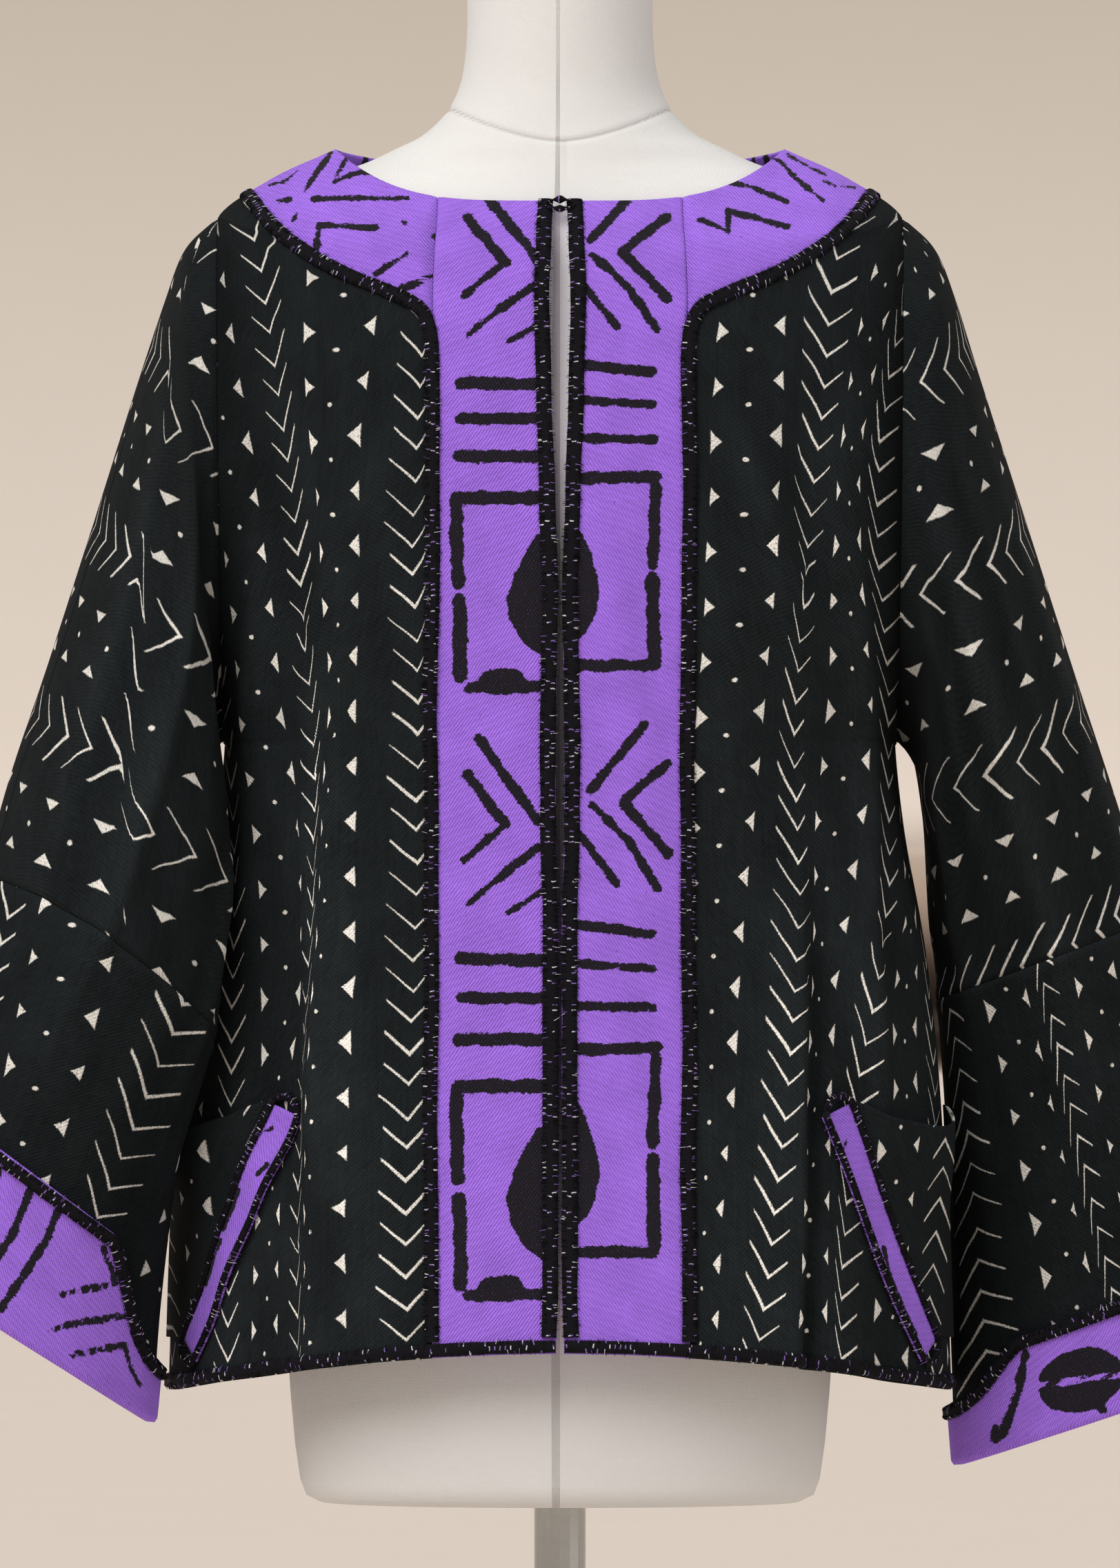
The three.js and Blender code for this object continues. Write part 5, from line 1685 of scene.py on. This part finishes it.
def mud_material():
    """Black cloth with cream marks in columns: arrows, triangles and dots, with painted shade in folds
    and under the arm and a painted highlight on the folds' crests.
    """
    shader = Shader("mud_cloth")
    u, v, painted_shading = shader.split(shader.attribute("cloth"))
    w, level, lean = shader.split(shader.attribute("motif"))
    place = shader.join(u, v)
    sway = shader.noise(place, 0.035, 1.0) - 0.5
    rough = (shader.noise(place, 2.1, 2.0, 0.6) - 0.5) * 1.3
    w = w + (shader.noise(place, 0.9, 3.0, 0.6) - 0.5) * 1.6 + rough + sway * 4
    level = level + (shader.noise(shader.join(v, u), 0.9, 3.0, 0.6) - 0.5) * 1.5
    t = w.wrap(MOTIF_PERIOD)
    column = (w / MOTIF_PERIOD + 0.5).apply("FLOOR")
    out = t.apply("ABSOLUTE")
    tilt = t.apply("SIGN") * lean + ARROW["slope"]
    s = level - tilt * out + column * 6.3
    cell = (s / ARROW["pitch"] + 0.5).apply("FLOOR")
    chance = shader.random(shader.join(cell, column, 3.1))
    chance_too = shader.random(shader.join(column, cell, 7.7))
    off = s.wrap(ARROW["pitch"]) + (chance - 0.5) * 3
    thin = (tilt * tilt + 1.0).apply("SQRT")
    taper = out * -0.02 + 0.15
    half = chance_too * 0.55 + taper + ARROW["half_stroke"]
    stroke = (off.apply("ABSOLUTE") / thin).less(half, 0.5)
    stroke = stroke * out.less(chance * 4 + ARROW["reach"], 0.8)
    block = level + column * 4.1
    size = shader.random(shader.join((block / TRIANGLE["pitch"] + 0.5).apply("FLOOR"), column, 1.3))
    apart = block.wrap(TRIANGLE["pitch"]).apply("ABSOLUTE")
    inwards = (out * -1) + TRIANGLE["column"]
    wide = size * 1.8 + TRIANGLE["wide"]
    edge = (inwards + wide * 0.5) * (size * 0.25 + TRIANGLE["steep"])
    triangle = apart.less(edge, 0.6) * inwards.less(wide * 0.5, 0.6)
    dot_column = (w / MOTIF_PERIOD).apply("FLOOR")
    dot_across = (w - DOT["column"]).wrap(MOTIF_PERIOD)
    dot_off = (level + dot_column * 7.3 + DOT["shift"]).wrap(TRIANGLE["pitch"])
    far = (dot_off * dot_off + dot_across * dot_across).apply("SQRT")
    dot = far.less(DOT["radius"], 0.5)
    mark = stroke.apply("MAXIMUM", triangle).apply("MAXIMUM", dot)
    threads = weave(shader, u, v, WEAVE_PITCH)
    dry = (shader.noise(place, 0.7, 3.0, 0.65) + threads * 0.35).less(0.86, 0.12)
    mark = mark * (dry * 0.75 + 0.25)
    worn = shader.noise(place, 0.02, 3.0, 0.6)
    streak = shader.noise(shader.join(u, v * 0.04), 0.5, 2.0)
    twill = shader.noise(shader.join((u + v) * 0.9, (u - v) * 0.08), 0.8, 2.0)
    shade = worn * 1.1 + threads * 0.9 + streak * 0.6 + twill * 1.1 - 0.85
    # The black and the cream marks are darkened by painted shade in folds and under the arm, and
    # lightened by a painted highlight on the folds' crests.
    black = shader.scale_colour(COLOUR["black"], shade * (painted_shading + 1.0))
    cream = shader.scale_colour(COLOUR["cream"], (threads * 0.45 + 0.7) * (painted_shading * 0.7 + 1.0))
    colour = shader.blend(mark, black, cream)
    return shader.finish(colour, threads + mark * 0.25, 0.0007, 0.95, 0.01, 0.06)


def purple_material():
    """Purple ribbed cloth with near-black painted strokes."""
    shader = Shader("purple_cloth")
    u, v, _ = shader.split(shader.attribute("cloth"))
    ink = shader.number("ink")
    place = shader.join(u, v)
    fine = weave(shader, u, v, 0.9)
    drift = shader.noise(place, 0.06, 2.0) * 2.5
    ribs = ((u + v * 0.7 + drift) * (2 * math.pi / RIB_PITCH)).apply("SINE") * 0.5 + 0.5
    slub = shader.noise(shader.join(u * 0.3, v * 0.9), 0.9, 2.0)
    threads = fine * 0.45 + ribs * 0.55 + slub * 0.3
    rough_edge = (shader.noise(place, 0.5, 4.0, 0.65) - 0.5) * 3.6
    swelling = (shader.noise(place, 0.085, 2.0, 0.5) - 0.5) * 4.6
    slope = shader.noise(shader.join(u * 0.25, v), 0.7, 2.0) - 0.5
    painted = (ink + rough_edge + swelling + slope * 1.6).less(0.0, 0.6)
    dry = (shader.noise(place, 0.8, 3.0, 0.65) + threads * 0.3).less(0.9, 0.12)
    painted = painted * (dry * 0.12 + 0.88)
    worn = shader.noise(place, 0.03, 3.0, 0.6)
    speck = shader.noise(place, 0.22, 3.0, 0.7).less(0.3, 0.03)
    shade = worn * 0.5 + threads * 0.75 + 0.22
    purple = shader.scale_colour(COLOUR["purple"], shade * (speck * -0.45 + 1.0))
    dark = shader.scale_colour(COLOUR["ink"], shade)
    colour = shader.blend(painted, purple, dark)
    return shader.finish(colour, threads, 0.0007, 0.92, 0.04)


def binding_material():
    """Black strips with rows of small light stitches."""
    shader = Shader("binding")
    u, v, _ = shader.split(shader.attribute("cloth"))
    place = shader.join(u, v)
    grain = shader.noise(place, 1.4, 3.0, 0.6)
    fibre = shader.noise(shader.join(u, v * 0.2), 1.6, 3.0, 0.6)
    bright = None
    for row, level in enumerate(STITCH["rows"]):
        shift = u + shader.noise(shader.join(v, u * 0.3), 0.3, 1.0) * 2 + row * 1.1
        cell = (shift / STITCH["pitch"] + 0.5).apply("FLOOR")
        chance = shader.random(shader.join(cell, row + 0.5, 2.2))
        along_it = shift.wrap(STITCH["pitch"]).apply("ABSOLUTE")
        across_it = ((v - level) + (chance - 0.5) * 1.6).apply("ABSOLUTE")
        here = along_it.less(0.34, 0.3) * across_it.less(chance * 1.4 + 0.1, 0.4)
        here = here * (chance * -1).less(-STITCH["share"], 0.02)
        bright = here if bright is None else bright.apply("MAXIMUM", here)
    tint = shader.noise(place, 0.2, 2.0)
    light = shader.blend(((tint - 0.5) / 0.06).clamp(), COLOUR["violet"], COLOUR["fleck"])
    dark = shader.scale_colour(COLOUR["strip"], grain * 1.6 + fibre * 0.8 - 0.2)
    colour = shader.blend(bright, dark, light)
    height = grain * 0.6 + fibre * 0.6 + bright * 0.3
    return shader.finish(colour, height, 0.0008, 0.8, 0.01, 0.12)


def thread_material():
    """Short threads: most of them black, some violet and some white."""
    shader = Shader("thread")
    shade = shader.number("shade")
    place = shader.add("TexCoord").outputs["Object"]
    grain = shader.noise(place, 1400, 2.0, 0.6)
    pale = (shade * -1).less(-0.95, 0.01)
    violet = (shade * -1).less(-0.87, 0.01)
    colour = shader.blend(violet, COLOUR["strip"], COLOUR["violet"])
    colour = shader.blend(pale, colour, COLOUR["fleck"])
    colour = shader.scale_colour(colour, grain * 0.8 + 0.5)
    return shader.finish(colour, grain, 0.0001, 0.9, 0.0, 0.1)


def linen_material():
    """The form's off-white cover, with a fine weave and seams."""
    shader = Shader("linen")
    u, v, _ = shader.split(shader.attribute("cloth"))
    seam = shader.number("ink")
    threads = weave(shader, u, v, 0.7)
    worn = shader.noise(shader.join(u, v), 0.02, 3.0, 0.6)
    shade = worn * 0.08 + threads * 0.08 + 0.87
    shade = shade * (seam * -0.35 + 1.0)
    colour = shader.scale_colour(COLOUR["linen"], shade)
    return shader.finish(colour, threads, 0.0002, 0.85, 0.1)


def plain_linen_material():
    shader = Shader("linen_cap")
    place = shader.add("TexCoord").outputs["Object"]
    grain = shader.noise(place, 900, 3.0, 0.6)
    worn = shader.noise(place, 14, 3.0, 0.6)
    colour = shader.scale_colour(COLOUR["linen"], worn * 0.1 + grain * 0.1 + 0.85)
    return shader.finish(colour, grain, 0.0002, 0.85, 0.1)


def metal_material():
    shader = Shader("stand_metal")
    place = shader.add("TexCoord").outputs["Object"]
    brush = shader.noise(place, 240, 4.0, 0.6)
    worn = shader.noise(place, 9, 3.0, 0.6)
    colour = shader.scale_colour(COLOUR["metal"], brush * 0.2 + worn * 0.2 + 0.75)
    shader.bsdf.inputs["Metallic"].default_value = 1.0
    return shader.finish(colour, brush, 0.00005, 0.38)


WEAVE_PITCH = 1.25
RIB_PITCH = 2.1
ARROW = {"slope": 1.0, "pitch": 19.6, "half_stroke": 0.42, "reach": 14}
TRIANGLE = {"column": 38, "pitch": 34, "wide": 5, "steep": 0.92}
DOT = {"column": 52, "shift": 15, "radius": 1.35}
STITCH = {"rows": [-3.2, 0.2, 3.3], "pitch": 3.3, "share": 0.8}
COLOUR = {
    "black": (0.0102, 0.0127, 0.014),
    "cream": (0.83, 0.8, 0.74),
    "purple": (0.345, 0.155, 0.78),
    "ink": (0.0105, 0.0085, 0.0135),
    "strip": (0.0048, 0.0043, 0.0062),
    "fleck": (0.74, 0.73, 0.78),
    "violet": (0.24, 0.14, 0.46),
    "linen": (0.8, 0.79, 0.775),
    "metal": (0.52, 0.52, 0.5),
    # The backdrop's two tones are painted shade high up and painted light low down.
    "backdrop": (0.48, 0.425, 0.365),
    "backdrop_low": (0.78, 0.69, 0.62),
}
MATERIALS = {
    "mud_cloth": mud_material(),
    "purple_cloth": purple_material(),
    "binding": binding_material(),
    "thread": thread_material(),
    "linen": linen_material(),
    "linen_cap": plain_linen_material(),
    "stand_metal": metal_material(),
}
BACKDROP_MIDDLE = 1.6
BACKDROP_SOFT = 4.4

SIDE_PIECES = [
    front_panel,
    band_panel,
    collar_front_panel,
    upper_sleeve,
    lower_sleeve,
    cuff_panel,
    pocket_panel,
    pocket_strip,
    collar_binding,
    front_binding,
    cuff_binding,
    strip_binding,
]
for side in (-1, 1):
    for make in SIDE_PIECES:
        make(side)
    panel_turn = float(turn_at(-1, 0.0, BAND_HALF + SEAM_GAP / 2))
    start = float(opening_turn(np.array(0.0), 0.2))
    turns = np.concatenate(
        [np.linspace(start, panel_turn, 40)[:-1], np.linspace(panel_turn, HEM_END_TURN, 60)]
    )
    hem_roll("hem_front_" + WORD[side], -1, side * turns)
back_panel()
collar_back_panel()
collar_back_binding()
hem_roll("hem_back", 1, np.linspace(-HEM_END_TURN, HEM_END_TURN, 150))
thread_loop()
form_torso()

for node, slot in (
    ("form_neck_cap", "linen_cap"),
    ("form_pole", "stand_metal"),
    ("form_foot", "stand_metal"),
):
    solid = frame["nodes"][node]
    solid.data.materials.clear()
    solid.data.materials.append(MATERIALS[slot])

# A plain studio, in metres: a wide floor that curves up into a far wall.
STUDIO_HALF = 70
FLOOR_DROP = 0.001
FLOOR = table("y z", [[-60, 0], [40, 0], [46, 1], [50, 5], [51, 12], [51, 60]])
position = np.linspace(1, 5, 49)
profile_y = np.concatenate([FLOOR["y"][:1], along(FLOOR, "y", position)])
profile_z = np.concatenate([[0.0], np.maximum(0, along(FLOOR, "z", position))])
steps = len(profile_y)
profile = list(zip(profile_y, profile_z - FLOOR_DROP))
verts = [(x, y, z) for x in (-STUDIO_HALF, STUDIO_HALF) for y, z in profile]
faces = [[i, steps + i, steps + i + 1, i + 1] for i in range(steps - 1)]
studio_mesh = bpy.data.meshes.new("studio_floor")
studio_mesh.from_pydata(verts, [], faces)
studio_mesh.shade_smooth()
studio = bpy.data.objects.new("studio_floor", studio_mesh)
bpy.context.scene.collection.objects.link(studio)
paper = Shader("studio_paper")
paper_place = paper.add("TexCoord").outputs["Object"]
paper_grain = paper.noise(paper_place, 3, 3.0, 0.6)
paper_height = paper.split(paper_place)[2]
# Painted light and shade: the paper is coloured lighter low down and darker high up, standing in for
# the light's falloff across the backdrop.
paper_painted_falloff = paper.blend(
    (paper_height * -1).less(-BACKDROP_MIDDLE, BACKDROP_SOFT),
    COLOUR["backdrop_low"],
    COLOUR["backdrop"],
)
paper_colour = paper.scale_colour(paper_painted_falloff, paper_grain * 0.03 + 0.985)
studio_mesh.materials.append(paper.finish(paper_colour, paper_grain, 0.0001, 0.95))


SUN_WIDTH = 50


def soft_sun(name, azimuth, elevation, strength, colour):
    """A wide soft light from far off. Azimuth 0 shines from the front, 90 from the right."""
    light = bpy.data.lights.new(name, "SUN")
    light.angle = math.radians(SUN_WIDTH)
    light.energy = strength
    light.color = colour
    a = math.radians(azimuth)
    e = math.radians(elevation)
    way = (math.sin(a) * math.cos(e), -math.cos(a) * math.cos(e), math.sin(e))
    lamp = bpy.data.objects.new(name, light)
    lamp.rotation_euler = Vector(way).to_track_quat("Z", "Y").to_euler()
    bpy.context.scene.collection.objects.link(lamp)


soft_sun("key", -38, 44, 2.5, (1, 0.985, 0.965))
soft_sun("fill", 55, 24, 0.5, (0.97, 0.98, 1))
soft_sun("back_light", 160, 44, 0.9, (1, 1, 1))

world = bpy.data.worlds.new("studio_air")
world.use_nodes = True
world.node_tree.nodes["Background"].inputs["Color"].default_value = (1, 0.97, 0.93, 1)
world.node_tree.nodes["Background"].inputs["Strength"].default_value = 0.25
bpy.context.scene.world = world

CAMERA_FAR = 11
CAMERA_Z = 1.009
FRAME_HEIGHT = 0.978
SENSOR = 36
bpy.context.scene.view_settings.view_transform = "Standard"
view = bpy.data.cameras.new("camera")
view.sensor_width = SENSOR
view.sensor_fit = "AUTO"
view.lens = SENSOR * CAMERA_FAR / FRAME_HEIGHT
view.clip_end = 120
camera = bpy.data.objects.new("camera", view)
camera.location = (0, -CAMERA_FAR, CAMERA_Z)
camera.rotation_euler = (math.pi / 2, 0, 0)
bpy.context.scene.collection.objects.link(camera)
bpy.context.scene.camera = camera

# Each cloth piece's cut: width and length in mm, area in square metres, what it hangs from or
# lies on, and the edging sewn on it.
CUTS = [
    ["front_cloth_SIDE", 270, 840, 0.144, "hung", "collar_cloth_SIDE", "hem_edge_front_SIDE"],
    ["band_cloth_SIDE", 80, 735, 0.0565, "hung", "collar_cloth_SIDE", "binding_edge_front_SIDE"],
    ["collar_cloth_SIDE", 215, 110, 0.0114, "draped", "form_cover", "binding_edge_collar_SIDE"],
    ["sleeve_cloth_upper_SIDE", 815, 470, 0.163, "hung", "front_cloth_SIDE back_cloth", ""],
    ["sleeve_cloth_lower_left", 551, 244, 0.116, "hung", "sleeve_cloth_upper_left", ""],
    ["sleeve_cloth_lower_right", 549, 290, 0.144, "hung", "sleeve_cloth_upper_right", ""],
    ["cuff_cloth_left", 551, 106, 0.05, "hung", "sleeve_cloth_lower_left", "binding_edge_cuff_left"],
    [
        "cuff_cloth_right",
        549,
        72,
        0.038,
        "hung",
        "sleeve_cloth_lower_right",
        "binding_edge_cuff_right",
    ],
    ["pocket_cloth_SIDE", 153, 167, 0.015, "hung", "front_cloth_SIDE", ""],
    [
        "pocket_strip_cloth_SIDE",
        28,
        175,
        0.0047,
        "hung",
        "pocket_cloth_SIDE",
        "binding_edge_strip_SIDE",
    ],
    ["back_cloth", 690, 840, 0.39, "hung", "collar_cloth_back", "hem_edge_back"],
    ["collar_cloth_back", 565, 115, 0.0424, "draped", "form_cover", "binding_edge_collar_back"],
]


def declare_cut(word, name, wide, tall, area, held, under, edging):
    def named(names, parts=("",)):
        names = names.replace("SIDE", word).split()
        return [bpy.data.objects[name + part] for name in names for part in parts]

    named(name)[0]
    named(under)
    named(edging, ("", "_threads"))


for cut in CUTS:
    for word in WORD.values() if "SIDE" in cut[0] else ("",):
        declare_cut(word, *cut)
